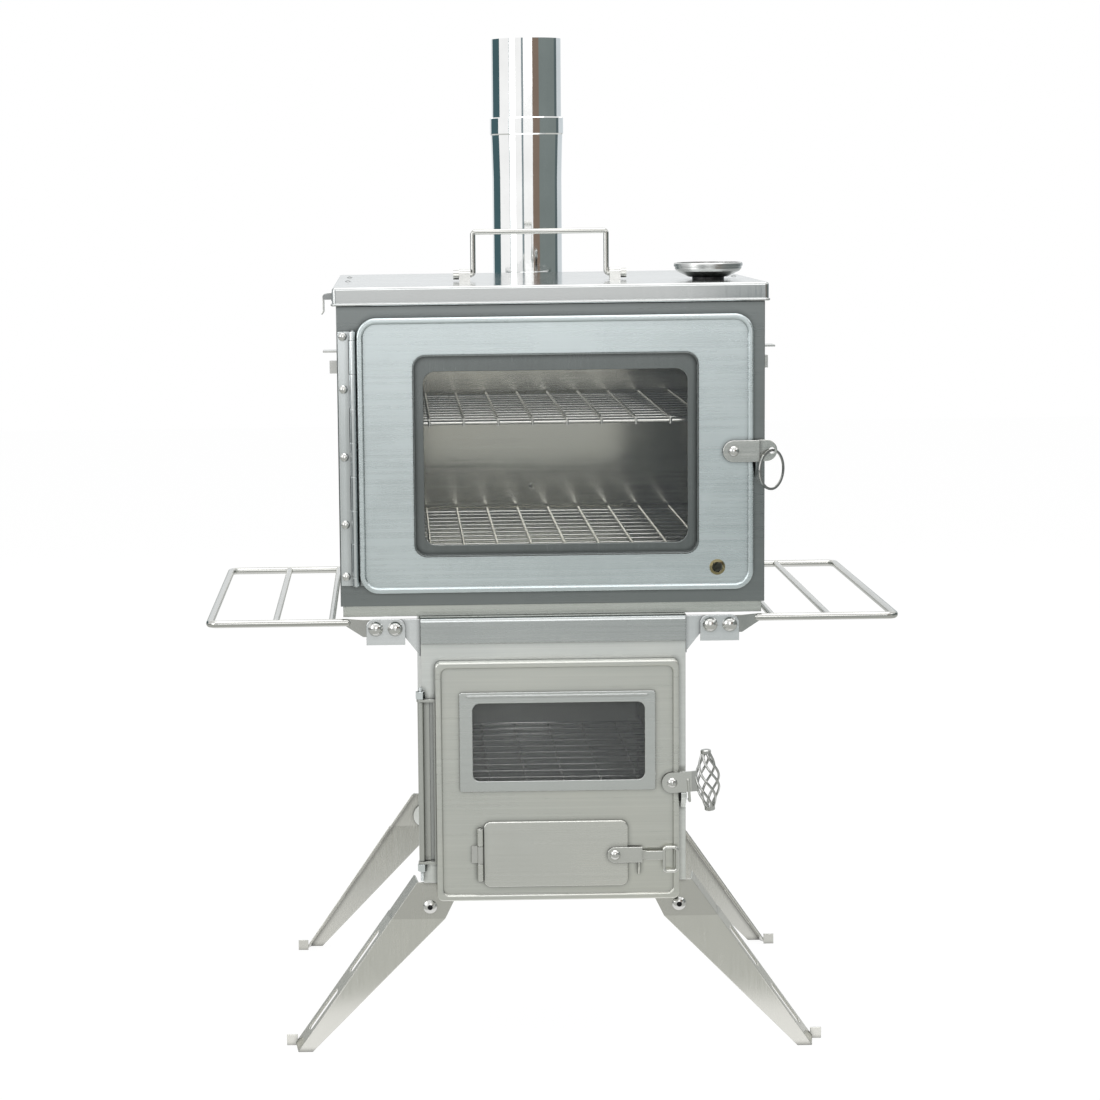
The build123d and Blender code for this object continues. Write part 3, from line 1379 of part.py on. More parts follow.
def side_tabs():
    """On each side wall a thin tab and the small block below it."""
    pieces = []
    y = oven_y + side_tab_y
    for side in (-1, 1):
        lo, hi = sorted((side * (oven_half + 0.02), side * (oven_half + side_tab_out)))
        pieces.append(slab(lo, hi, y - side_tab_l / 2, y + side_tab_l / 2, side_tab_z, side_tab_z + side_tab_t))
        lo, hi = sorted((side * (oven_half + 0.02), side * (oven_half + side_block_out)))
        z1 = side_tab_z - side_block_below
        pieces.append(slab(lo, hi, y - side_block_l / 2, y + side_block_l / 2, z1 - side_block_h, z1))
    return pieces


# ---- all pieces ----
left_leg = front_left_leg()
left_shelf = shelf_left()
pieces = {
    "stove_body": stove_body(),
    "stove_top": stove_top(),
    "stove_front_frame": stove_front_frame(),
    "fire_grate": fire_grate(),
    "grate_rails": grate_rails(),
    "leg_brackets": four_corners(leg_bracket()),
    "leg_eyelets": four_corners(leg_eyelet()),
    "leg_front_left": left_leg,
    "leg_front_right": mirror_x(left_leg),
    "leg_rear_left": mirror_y(left_leg),
    "leg_rear_right": mirror_y(mirror_x(left_leg)),
    "flue_collar": flue_collar(),
    "flue_lower": flue_lower(),
    "flue_upper": flue_upper(),
    "stove_hinge_barrel": hinge_barrel(),
    "stove_hinge_pin": stove_hinge_pin(),
    "stove_door_panel": stove_door_panel(),
    "stove_door_hinge_bracket": stove_door_hinge_bracket(),
    "stove_window_frame": stove_window_frame(),
    "stove_window_glass": stove_window_glass(),
    "stove_window_clips": stove_window_clips(),
    "stove_door_rivets": [stove_latch_rivet(), ash_hinge_knuckle()],
    "stove_latch_handle": stove_latch_handle(),
    "ash_door": ash_door(),
    "ash_hinge_pin": ash_hinge_pin(),
    "ash_latch_rivet": ash_latch_rivet(),
    "ash_lever": ash_lever(),
    "shelf_left": left_shelf,
    "shelf_right": mirror_x(left_shelf),
    "shelf_tabs": shelf_corners(shelf_tab()),
    "shelf_gussets": shelf_corners(shelf_gusset()),
    "shelf_rivets": [r for rivet in shelf_rivet_pair() for r in shelf_corners(rivet)],
    "oven_base": oven_base(),
    "oven_front_panel": oven_front_panel(),
    "oven_side_left": oven_side(-1),
    "oven_side_right": oven_side(1),
    "oven_back": oven_back(),
    "rack_ledges": rack_ledges(),
    "rack_lower": rack(rack_low_z),
    "rack_upper": rack(rack_high_z),
    "oven_frame_leaf": oven_frame_leaf(),
    "oven_door_leaf": oven_door_leaf(),
    "oven_hinge_pin": oven_hinge_pin(),
    "oven_hinge_screws": oven_hinge_screws() + side_tabs(),
    "oven_door_panel": oven_door_panel(),
    "oven_window_frame": oven_window_frame(),
    "oven_window_glass": oven_window_glass(),
    "oven_door_rivets": [oven_latch_rivet(), vent_eyelet()],
    "oven_latch_strap": oven_latch_strap(),
    "latch_ring": latch_ring(),
    "oven_lid": oven_lid(),
    "lid_handle": lid_handle(),
    "lid_handle_posts": handle_brackets(),
    "lid_rivets": lid_rivets() + [lid_hasp_bracket()],
    "lid_hasp": lid_hasp(),
    "thermometer_magnet": thermometer_magnet(),
    "thermometer_case": thermometer_case(),
    "thermometer_dial": thermometer_dial(),
    "thermometer_lens": thermometer_lens(),
    "thermometer_needle": thermometer_needle(),
}
for name, solid in pieces.items():
    shape = Compound(children=solid) if isinstance(solid, list) else solid
    export_step(shape, f"parts/{name}.step")
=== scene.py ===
# %% [markdown]
# # A box oven on a folding-leg stove
# The solids of this part come ready in model.glb. What is left is what makes sheet steel look like
# sheet steel: brushed, rolled and polished surfaces, glass, the small marks of welding and the printed
# dial. Each step below says what a piece is, how it could be made, and why this way.

import bpy
import numpy as np
from mathutils import Matrix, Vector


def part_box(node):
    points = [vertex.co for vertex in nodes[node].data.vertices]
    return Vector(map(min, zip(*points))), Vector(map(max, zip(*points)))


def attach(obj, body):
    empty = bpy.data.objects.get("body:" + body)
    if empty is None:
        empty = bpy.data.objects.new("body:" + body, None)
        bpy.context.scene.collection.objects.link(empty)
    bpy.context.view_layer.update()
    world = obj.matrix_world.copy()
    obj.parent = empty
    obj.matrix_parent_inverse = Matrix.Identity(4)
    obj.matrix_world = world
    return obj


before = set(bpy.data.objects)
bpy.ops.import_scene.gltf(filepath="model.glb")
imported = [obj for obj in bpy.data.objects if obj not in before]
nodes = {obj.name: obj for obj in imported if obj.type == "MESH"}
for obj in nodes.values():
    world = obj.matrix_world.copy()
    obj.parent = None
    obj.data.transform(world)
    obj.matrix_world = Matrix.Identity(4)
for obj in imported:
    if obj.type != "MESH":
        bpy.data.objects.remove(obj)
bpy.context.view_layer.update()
MM = 0.001


# %% [markdown]
# ## Node arithmetic
# A material is a formula. Drawn as boxes and wires it is hard to read, and typed as links it is
# long. So a socket is wrapped in a small class: adding or multiplying two of them makes the Math
# node that does it, and the reflected forms let a plain number stand first.

# %% Sockets that do arithmetic
class Value:
    """An output socket of a node tree that can be added, scaled and divided like a number."""

    def __init__(self, tree, socket):
        self.tree = tree
        self.socket = socket

    def math(self, operation, first, second):
        """One Math node on two values, of which either may be a plain number."""
        return make(self.tree, "ShaderNodeMath", {"operation": operation}, {0: first, 1: second})

    def __add__(self, other):
        return self.math("ADD", self, other)

    def __radd__(self, other):
        return self.math("ADD", other, self)

    def __sub__(self, other):
        return self.math("SUBTRACT", self, other)

    def __rsub__(self, other):
        return self.math("SUBTRACT", other, self)

    def __mul__(self, other):
        return self.math("MULTIPLY", self, other)

    def __rmul__(self, other):
        return self.math("MULTIPLY", other, self)

    def __truediv__(self, other):
        return self.math("DIVIDE", self, other)

    def __rtruediv__(self, other):
        return self.math("DIVIDE", other, self)

    def between(self, low, high):
        """0 at low, 1 at high, a straight ramp in between, held at both ends."""
        return make(self.tree, "ShaderNodeMapRange", {"clamp": True},
                    {"Value": self, "From Min": low, "From Max": high})


print("sockets can be added, subtracted, multiplied, divided and stretched to a range")


# %% [markdown]
# ## Any other node
# Every node is made the same way: choose its kind, set its settings, then fill its inputs with
# values or links. One function does it, so a material reads as a list of what it needs.

# %% One function for every node
def make(tree, kind, settings=None, inputs=None, outlet=0):
    """Any node: its settings come first, then its inputs by name or number, links or plain values."""
    made = tree.nodes.new(kind)
    for name, value in (settings or {}).items():
        setattr(made, name, value)
    for name, value in (inputs or {}).items():
        if isinstance(value, Value):
            tree.links.new(value.socket, made.inputs[name])
        else:
            made.inputs[name].default_value = value
    return Value(tree, made.outputs[outlet])


print("any node can be made in one line")


# %% [markdown]
# ## Words for patterns
# Steel, glass and paint all need the same few things: coordinates stretched along the brush,
# soft noise, a blend of two colours, and a surface bumped by a height. Each gets a short name.

# %% Pattern helpers
def stretched(where, scale):
    """Coordinates multiplied by a triple: a large number makes a pattern fine along that axis."""
    return make(where.tree, "ShaderNodeVectorMath", {"operation": "MULTIPLY"}, {0: where, 1: scale})


def blend(factor, a, b):
    """A colour between a, where the factor is 0, and b, where it is 1."""
    ends = [end if isinstance(end, Value) else (*end, 1.0) for end in (a, b)]
    return make(factor.tree, "ShaderNodeMix", {"data_type": "RGBA"},
                {0: factor, 6: ends[0], 7: ends[1]}, outlet=2)


def noise(where, scale, detail=3.0, roughness=0.5):
    """Soft noise from 0 to 1, with about scale cells to the metre along each axis."""
    return make(where.tree, "ShaderNodeTexNoise",
                inputs={"Vector": stretched(where, scale), "Scale": 1.0, "Detail": detail,
                        "Roughness": roughness})


def bump(height, depth, strength=1.0, under=None):
    """A bumped normal: the height from 0 to 1 stands for a depth in metres, over another bump."""
    inputs = {"Height": height, "Distance": depth, "Strength": strength}
    if under:
        inputs["Normal"] = under
    return make(height.tree, "ShaderNodeBump", inputs=inputs)


def shades(color, amount):
    """The colour made lighter or darker by a factor, kept within range."""
    return tuple(min(1.0, c * amount) for c in color)


print("pattern helpers: stretched, blend, noise, bump, shades")


# %% [markdown]
# ## What every finish starts from
# Each finish is a main shader read at the object's own coordinates, so a pattern stays on its piece
# when the piece moves. Where two pieces meet, the colour is painted darker as painted shade. It could
# be painted by hand, corner by corner. An Ambient Occlusion node finds the corners by itself.

# %% Common parts of a finish
def new_material(name, metallic):
    """A new material with its main shader and its object coordinates."""
    made = bpy.data.materials.new(name)
    made.use_nodes = True
    tree = made.node_tree
    shader = tree.nodes["Principled BSDF"]
    shader.inputs["Metallic"].default_value = metallic
    return made, shader, make(tree, "ShaderNodeTexCoord", outlet="Object")


def dress(shader, values):
    """Links what varies over the surface to the shader's inputs."""
    for name, value in values.items():
        value.tree.links.new(value.socket, shader.inputs[name])


def open_air(tree, reach):
    """How far from a corner a point lies: 1 in the open, less where something stands within reach."""
    return make(tree, "ShaderNodeAmbientOcclusion", {"samples": 6}, {"Distance": reach}, "AO")


print("finishes start from object coordinates")


# %% [markdown]
# ## Three scales of brushed steel
# Stainless sheet is never one grey. It could be a plain metal shader with one roughness, and it
# would look like plastic film. Real sheet has three scales: the hair lines of the brush, faint
# streaks a few centimetres long, and slow blotches where hands and heat have been. The first two
# are noises that are stretched along the brush. Scales are cells to the metre, so a large number
# makes fine lines.

# %% Scales of the brush
hair_along, hair_across = 11.0, 1500.0
streak_along, streak_across = 2.5, 420.0


def along_brush(brush, along, across):
    """Noise cells to the metre for each axis: few along the brush and many across it."""
    return tuple(along if axis == brush else across for axis in "xyz")


print("brushed sheet has hair lines", round(1000.0 / hair_across, 2), "mm apart")


# %% [markdown]
# ## Brushed sheet
# Each of the three scales is one noise, and all three move colour and roughness together. Straw colour
# is laid over them where there is fire behind the sheet, and the corners are painted darker as painted
# shade. The Bevel node rounds the shading, not the shape, within a fraction of a millimetre of each
# corner: the thin bright line it draws is what tells the eye that the sheet has a thickness.

# %% Brushed sheet
# Painted shade in corners: how far the Ambient Occlusion node looks, and how dark a corner is painted.
corner_shade_reach = 4.5 * MM
corner_shade_tone = 0.30
tone_spread = 0.08
line_depth = 0.03 * MM
wave_depth = 1.6 * MM
sheet_edge, thin_edge = 0.8 * MM, 0.4 * MM
head_shade_blur = 0.4 * MM


def sheet_steel(name, color, roughness, brush="x", lines=1.0, waves=1.0, heat=0.0, edge=sheet_edge,
                head_shade=None):
    """Brushed steel: lines is how plain the brush marks are, waves how far the sheet is from flat,
    heat how much straw colour lies where the fire is behind, and edge how far corners are broken.
    A head shade is a height above which the sheet is painted another tone as painted shade, and the
    factor of that tone. Corners are painted darker as painted shade."""
    made, shader, where = new_material(name, 1.0)
    hair = noise(where, along_brush(brush, hair_along, hair_across), detail=2.0)
    streak = noise(where, along_brush(brush, streak_along, streak_across))
    blotch = noise(where, (13.0, 13.0, 13.0), detail=4.0, roughness=0.6)
    slow = noise(where, (4.5, 4.5, 4.0), detail=1.0)
    tone = ((hair - 0.5) * 0.5 + (streak - 0.5) * 0.6) * lines + (blotch - 0.5) * 0.5
    paint = blend(tone.between(-0.35, 0.35),
                  shades(color, 1.0 - tone_spread), shades(color, 1.0 + tone_spread))
    if heat:
        straw = (color[0] * 1.02, color[1] * 0.93, color[2] * 0.76)
        paint = blend((blotch * 0.7 + slow * 0.7).between(0.60, 0.95) * heat, paint, straw)
    # Painted shade: above the head's level the sheet is painted another tone.
    if head_shade:
        level, shade_factor = head_shade
        height = make(where.tree, "ShaderNodeSeparateXYZ", inputs={0: where}, outlet="Z")
        above = height.between(level - head_shade_blur, level + head_shade_blur)
        paint = blend(above, paint, shades(color, shade_factor))
    # Painted shade: where the Ambient Occlusion node finds a corner, the colour is painted darker.
    unshaded = open_air(where.tree, corner_shade_reach).between(0.42, 0.94)
    paint = blend(unshaded, shades(color, corner_shade_tone), paint)
    gloss = (hair - 0.5) * 0.10 + (streak - 0.5) * 0.12 + (blotch - 0.5) * 0.14 + roughness
    broken = make(where.tree, "ShaderNodeBevel", {"samples": 8}, {"Radius": edge})
    wavy = bump(slow, wave_depth, waves, broken)
    lined = bump(hair * 0.4 + streak, line_depth, min(0.3, 3.0 * roughness * roughness) * lines, wavy)
    dress(shader, {"Base Color": paint, "Roughness": gloss, "Normal": lined})
    return made


print("sheet corners are broken by", round(sheet_edge / MM, 1), "mm, thin ones by",
      round(thin_edge / MM, 1), "mm")


# %% [markdown]
# ## Bright steel
# Tube, wire and rivets are drawn or polished, so they are nearly mirrors. A perfect mirror looks
# computed. Faint smudges change its roughness, and a slow wave bends what it shows. Some pieces are two
# things in one solid and get a patch: a distance from a centre decides which colour is seen. On a
# hollow rivet the patch is painted shade: its bore is painted black.

# %% Bright steel
smear_depth = 2.0 * MM
patch_blur = 0.3 * MM


def bright_steel(name, color, roughness, waves=0.4, smudge=0.12, patch=None):
    """Polished or drawn steel: almost a mirror, with faint smudges and a slow wave. A patch is a part
    in another colour, or painted shade as on a rivet's bore: its centre, the axes that count, how far
    it reaches, and that colour. It is mirrored to both sides, because distances are taken between
    absolute coordinates."""
    made, shader, where = new_material(name, 1.0)
    cloud = noise(where, (23.0, 23.0, 19.0), detail=4.0, roughness=0.6)
    slow = noise(where, (9.0, 9.0, 6.0), detail=1.0)
    speck = noise(where, (700.0, 700.0, 700.0), detail=2.0)
    paint = blend(cloud.between(0.3, 0.75), shades(color, 0.93), shades(color, 1.05))
    if patch:
        center, axes, size, patch_color = patch
        mirrored = make(where.tree, "ShaderNodeVectorMath", {"operation": "ABSOLUTE"}, {0: where})
        target = tuple(abs(place) * counts for place, counts in zip(center, axes))
        away = make(where.tree, "ShaderNodeVectorMath", {"operation": "DISTANCE"},
                    {0: stretched(mirrored, axes), 1: target}, outlet="Value")
        paint = blend(away.between(size - patch_blur, size + patch_blur), patch_color, paint)
    gloss = cloud.between(0.35, 0.8) * smudge + speck * 0.03 + (roughness - 0.015)
    dress(shader, {"Base Color": paint, "Roughness": gloss, "Normal": bump(slow, smear_depth, waves)})
    return made


print("bright steel is ready")


# %% [markdown]
# ## Glass
# Heat-proof glass over a fire goes brown from its edges inwards. A dark tint alone would look
# like new sunglasses, so the smoke is a noise that thickens towards the upper and lower edges,
# and it makes the pane both darker and less clear.

# %% Glass
soot_color = (0.040, 0.034, 0.028)


def pane_glass(name, tint, clear, node_name, smoke):
    """A thin pane: clear is the share that passes through, and smoke grows away from mid height."""
    made, shader, where = new_material(name, 0.0)
    low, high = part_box(node_name)
    middle, half = (low[2] + high[2]) / 2, (high[2] - low[2]) / 2
    height = make(where.tree, "ShaderNodeSeparateXYZ", inputs={0: where}, outlet="Z")
    film = noise(where, (30.0, 30.0, 24.0), detail=5.0, roughness=0.62)
    rise = (height - middle) / half
    soot = (film * 0.8 + rise * rise * 0.45).between(0.45, 1.15) * smoke
    paint = blend(soot, tint, soot_color)
    cover = soot * 0.5 + (1.0 - clear)
    dress(shader, {"Base Color": paint, "Alpha": cover.between(0.0, 1.0),
                   "Roughness": soot * 0.25 + 0.03})
    shader.inputs["Specular IOR Level"].default_value = 0.7
    made.surface_render_method = "BLENDED"
    return made


print("glass is ready")


# %% [markdown]
# ## Paint
# The dial, its needle, its print and the magnet under it are painted or moulded. A plain colour
# would be flat, so the surface has a fine orange peel and the tone drifts a little.

# %% Paint
peel_depth = 0.06 * MM


def paint_coat(name, color, roughness, grain=0.3):
    """Paint or dull plastic with a fine orange-peel surface and slight unevenness of tone."""
    made, shader, where = new_material(name, 0.0)
    peel = noise(where, (1400.0, 1400.0, 1400.0), detail=2.0)
    cloud = noise(where, (90.0, 90.0, 90.0))
    paint = blend(cloud, shades(color, 0.88), shades(color, 1.08))
    dress(shader, {"Base Color": paint, "Roughness": cloud * 0.12 + roughness,
                   "Normal": bump(peel, peel_depth, grain)})
    return made


print("paint is ready")


# %% [markdown]
# ## Places of the patches and the painted shade
# The cage handle and the vent in the oven door each have a part of another colour, and the bore of each
# hollow leg rivet is painted black as painted shade. Their centres are measured from the boxes of their
# nodes, so they follow the solids. A front leg is painted greyer above its crease, as painted shade;
# the crease lies a little below its rivet.

# %% Patches
cage_r = 11.5 * MM
cage_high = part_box("stove_latch_handle")[1]
cage_patch = ((cage_high[0] - cage_r, 0.0, 0.0), (1.0, 0.0, 0.0), cage_r, (0.50, 0.505, 0.49))
vent_r = 6.3 * MM
vent_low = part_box("oven_door_rivets")[0]
vent_center = (vent_low[0] + vent_r, 0.0, vent_low[2] + vent_r)
vent_patch_r = 9.0 * MM
vent_patch = (vent_center, (1.0, 0.0, 1.0), vent_patch_r, (0.30, 0.26, 0.14))
eyelet_low, eyelet_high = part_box("leg_eyelets")
eyelet_head_r = 5.6 * MM
bore_r, bore_rim = 2.05 * MM, 0.05 * MM
bore_center = (eyelet_high[0] - eyelet_head_r, 0.0, (eyelet_low[2] + eyelet_high[2]) / 2)
# Painted shade: the bore of each hollow leg rivet is painted black.
bore_shade_patch = (bore_center, (1.0, 0.0, 1.0), bore_r + bore_rim, (0.02, 0.02, 0.02))
head_drop = 10.0 * MM
# Painted shade: the front legs are painted greyer above their crease.
leg_head_shade = (bore_center[2] - head_drop, 0.86)
print("leg rivets at x", round(bore_center[0], 4), "and z", round(bore_center[2], 4))


# %% [markdown]
# ## The sheet looks
# One look per kind of stock rather than per piece, because a maker buys sheet, tube and wire, not
# materials by the part. The brush runs across the doors and the fronts, and up the walls and the legs.
# The numbers are tones of the metal, except where shade is painted: the rear legs, the window frames
# and the heads of the front legs are painted darker as painted shade.

# %% Sheet looks
sheets = {
    "stove_sheet": dict(color=(0.80, 0.82, 0.80), roughness=0.32, heat=0.12),
    "stove_door": dict(color=(0.68, 0.69, 0.65), roughness=0.30, heat=0.15),
    "window_plate": dict(color=(0.635, 0.655, 0.64), roughness=0.24, lines=0.7),
    "ash_plate": dict(color=(0.72, 0.725, 0.69), roughness=0.26, lines=0.6, heat=0.10),
    "stove_top": dict(color=(0.56, 0.585, 0.58), roughness=0.26, heat=0.05),
    "leg_sheet": dict(color=(0.72, 0.715, 0.67), roughness=0.24, brush="z", lines=0.5, head_shade=leg_head_shade),
    # Painted shade: the rear legs are the front legs' steel painted darker; the straw colour on them is
    # heat tint.
    "leg_shade_and_heat": dict(color=(0.58, 0.58, 0.545), roughness=0.26, brush="z", lines=0.5, heat=0.1),
    "oven_door": dict(color=(0.675, 0.74, 0.75), roughness=0.28, lines=0.4, waves=0.8),
    "oven_frame": dict(color=(0.25, 0.27, 0.268), roughness=0.30, lines=0.6, waves=0.8),
    "oven_base": dict(color=(0.64, 0.66, 0.62), roughness=0.28, waves=0.6),
    "oven_wall": dict(color=(0.56, 0.575, 0.56), roughness=0.28, brush="z", lines=0.5),
    "oven_inside": dict(color=(0.62, 0.615, 0.55), roughness=0.15, lines=0.7, heat=0.2),
    # Painted shade: the window frames are painted darker than their steel, for the shade in their
    # recess.
    "window_frame": dict(color=(0.205, 0.222, 0.22), roughness=0.24, brush="z", lines=0.35),
    "hinge": dict(color=(0.82, 0.86, 0.87), roughness=0.16, brush="z", lines=0.5, edge=thin_edge),
    "barrel": dict(color=(0.58, 0.59, 0.56), roughness=0.22, brush="z", lines=0.5, edge=thin_edge),
    "lever": dict(color=(0.66, 0.665, 0.635), roughness=0.22, lines=0.5),
    "tab": dict(color=(0.88, 0.90, 0.91), roughness=0.20, lines=0.4),
    "lid": dict(color=(0.56, 0.575, 0.57), roughness=0.14, brush="z", lines=0.35, waves=0.4),
}
looks = {name: sheet_steel(name, **finish) for name, finish in sheets.items()}
print("sheet looks:", len(sheets))


# %% [markdown]
# ## The bright looks
# Tube, wire and rivets are drawn or polished, so they share one finish in several tones. The flue
# is the brightest, because it has to mirror the room, and three of the looks carry a patch.

# %% Bright looks
polished = {
    "flue": dict(color=(0.91, 0.915, 0.91), roughness=0.04, waves=0.10, smudge=0.03),
    "wire": dict(color=(0.56, 0.56, 0.535), roughness=0.12),
    "rivet": dict(color=(0.66, 0.66, 0.64), roughness=0.16),
    "vented": dict(color=(0.66, 0.66, 0.64), roughness=0.16, patch=vent_patch),
    "cage": dict(color=(0.66, 0.665, 0.635), roughness=0.12, patch=cage_patch),
    "eyelet": dict(color=(0.66, 0.66, 0.64), roughness=0.16, patch=bore_shade_patch),
    "small_rivet": dict(color=(0.34, 0.35, 0.35), roughness=0.2),
    "grate": dict(color=(0.86, 0.86, 0.84), roughness=0.14),
    "rack": dict(color=(0.78, 0.775, 0.73), roughness=0.12),
    "case": dict(color=(0.55, 0.56, 0.55), roughness=0.26),
}
looks.update({name: bright_steel(name, **finish) for name, finish in polished.items()})
print("bright looks:", len(polished))


# %% [markdown]
# ## Glass and paint looks
# The stove's pane is dark with smoke and the oven's is almost clear. The dial's parts are the only
# painted ones.

# %% Glass and paint looks
panes = {
    "dark_glass": dict(tint=(0.19, 0.20, 0.20), clear=0.76, node_name="stove_window_glass", smoke=0.30),
    "clear_glass": dict(tint=(0.55, 0.60, 0.62), clear=0.95, node_name="oven_window_glass", smoke=0.03),
}
paints = {
    "magnet": dict(color=(0.012, 0.012, 0.012), roughness=0.42),
    "dial": dict(color=(0.82, 0.82, 0.79), roughness=0.35, grain=0.1),
    "ink": dict(color=(0.015, 0.015, 0.016), roughness=0.4, grain=0.1),
    "needle": dict(color=(0.45, 0.03, 0.02), roughness=0.3, grain=0.1),
}
looks.update({name: pane_glass(name, **finish) for name, finish in panes.items()})
looks.update({name: paint_coat(name, **finish) for name, finish in paints.items()})
print("looks in all:", len(looks))


# %% [markdown]
# ## Which piece is made of what
# The list could be written piece by piece. Written by stock, it shows what a maker would cut from
# one sheet or one coil of wire, and a change of finish is made in one place.

# %% Stock list
stock = {
    "stove_sheet": ("stove_body", "stove_front_frame", "grate_rails", "leg_brackets"),
    "stove_door": ("stove_door_panel",),
    "window_plate": ("stove_window_frame",),
    "stove_top": ("stove_top",),
    "tab": ("shelf_tabs", "shelf_gussets"),
    "ash_plate": ("ash_door",),
    "leg_sheet": ("leg_front_left", "leg_front_right"),
    "leg_shade_and_heat": ("leg_rear_left", "leg_rear_right"),
    "oven_door": ("oven_door_panel",),
    "oven_frame": ("oven_front_panel",),
    "oven_base": ("oven_base",),
    "oven_wall": ("oven_side_left", "oven_side_right"),
    "oven_inside": ("oven_back", "rack_ledges"),
    "window_frame": ("oven_window_frame", "stove_window_clips"),
    "hinge": ("oven_frame_leaf", "oven_door_leaf", "oven_hinge_pin", "stove_hinge_pin"),
    "barrel": ("stove_hinge_barrel", "stove_door_hinge_bracket", "ash_hinge_pin"),
    "lever": ("ash_lever", "oven_latch_strap", "lid_hasp"),
    "lid": ("oven_lid",),
    "flue": ("flue_lower", "flue_upper", "flue_collar"),
    "wire": ("shelf_left", "shelf_right", "lid_handle"),
    "cage": ("stove_latch_handle",),
    "vented": ("oven_door_rivets",),
    "grate": ("fire_grate",),
    "rack": ("rack_lower", "rack_upper"),
    "eyelet": ("leg_eyelets",),
    "small_rivet": ("lid_rivets",),
    "rivet": ("shelf_rivets", "stove_door_rivets", "ash_latch_rivet", "oven_hinge_screws", "latch_ring",
              "lid_handle_posts"),
    "case": ("thermometer_case",),
    "dark_glass": ("stove_window_glass",),
    "clear_glass": ("oven_window_glass", "thermometer_lens"),
    "magnet": ("thermometer_magnet",),
    "dial": ("thermometer_dial",),
    "needle": ("thermometer_needle",),
}
for look, names in stock.items():
    for name in names:
        surfaces = nodes[name].data.materials
        surfaces.clear()
        surfaces.append(looks[look])
print(len(stock), "kinds of stock on", len(nodes), "nodes")


# %% [markdown]
# ## A mesh from two arrays
# A new piece starts as an array of points and an array of faces, worked out all at once and put into
# the mesh in one go. Points could be added one by one, but that is slow and hides the formula. The same
# function then gives the piece its look and its body.

# %% Mesh from arrays
def mesh_piece(name, points, faces, body, look):
    """A smooth mesh object on a body: points are rows of x, y, z in metres and faces rows of four."""
    mesh = bpy.data.meshes.new(name)
    mesh.vertices.add(len(points))
    mesh.vertices.foreach_set("co", np.asarray(points, dtype=np.float32).ravel())
    mesh.loops.add(faces.size)
    mesh.loops.foreach_set("vertex_index", faces.astype(np.int32).ravel())
    mesh.polygons.add(len(faces))
    mesh.polygons.foreach_set("loop_start", np.arange(0, faces.size, faces.shape[1], dtype=np.int32))
    mesh.update(calc_edges=True)
    mesh.validate()
    mesh.shade_smooth()
    mesh.materials.append(looks[look])
    made = bpy.data.objects.new(name, mesh)
    bpy.context.scene.collection.objects.link(made)
    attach(made, body)


print("arrays become meshes that ride on a body")


# %% [markdown]
# ## Surfaces from two numbers
# A rod, a ring or a screen is a grid: one number runs along it and one runs round it, and a
# formula turns the pair into a point. A grid needs a face between each four neighbours. Numbering
# the points and shifting the numbers by one row and one column gives all faces at once. A closed
# grid joins its last column to its first, as round a rod, and an open one leaves them apart.

# %% Grid to faces
def once_round(steps):
    """Angles once round a circle, in equal steps, without the last, which is the first again."""
    return np.linspace(0.0, 2.0 * np.pi, steps + 1)[:-1]


def grid_faces(rows, columns, closed=False):
    """The four corner numbers of each cell: closed joins the last column to the first."""
    index = np.arange(rows * columns).reshape(rows, columns)
    turned = np.roll(index, -1, axis=1)
    if not closed:
        index, turned = index[:, :-1], turned[:, :-1]
    return np.stack([index[:-1], turned[:-1], turned[1:], index[1:]], axis=-1).reshape(-1, 4)


def round_piece(name, points, body, look):
    """A piece from an array of points, rows by columns, whose columns go once round."""
    faces = grid_faces(*points.shape[:2], closed=True)
    mesh_piece(name, points.reshape(-1, 3), faces, body, look)


print("grids become faces")


# %% [markdown]
# ## Threads on the hinge pin
# The long hinge pin ends in screw threads above and below its nuts. A stack of rings would look
# the same from afar, but a thread is one ridge that climbs as it turns, so the radius depends on
# height minus turn: the ridge is where that difference is a whole number of pitches. Each stub
# is placed from its own end of the pin.

# %% Threads
rows_per_pitch = 10


def thread(name, x, y, z_low, z_high, radius, pitch):
    """A threaded stub: radius plus a ridge of a quarter pitch where height less turn is whole.
    Over the last fifth of a pitch the radius shrinks to nothing, which closes both ends."""
    rows = int((z_high - z_low) / pitch * rows_per_pitch) + 2
    turns, heights = np.meshgrid(once_round(32), np.linspace(z_low, z_high, rows))
    phase = heights / pitch - turns / (2.0 * np.pi)
    ridge = 0.5 + 0.5 * np.cos(2.0 * np.pi * phase)
    ends = np.minimum(heights - z_low, z_high - heights)
    r = (radius + 0.25 * pitch * ridge) * np.clip(ends / (0.2 * pitch), 0.0, 1.0)
    points = np.stack([x + r * np.cos(turns), y + r * np.sin(turns), heights], axis=-1)
    round_piece(name, points, "stove", "hinge")


pin_core_r = 1.42 * MM
pin_pitch = 0.8 * MM
stub_low = (0.2 * MM, 7.9 * MM)
stub_high = (-2.9 * MM, -0.1 * MM)
pin_low, pin_high = (np.array(corner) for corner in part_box("stove_hinge_pin"))
pin_x, pin_y = (pin_low[:2] + pin_high[:2]) / 2
for end, level, (start, stop) in (("low", pin_low[2], stub_low), ("high", pin_high[2], stub_high)):
    thread(f"hinge_thread_{end}", pin_x, pin_y, level + start, level + stop, pin_core_r, pin_pitch)
print("threads on the pin at x", round(pin_x, 4))


# %% [markdown]
# ## Weld beads on the shelves
# Each cross rod is welded to the bent frame. The weld is a small saddle of metal that fills the
# corner. It is a ring whose tube swells where the two rods are closest, one for every joint.

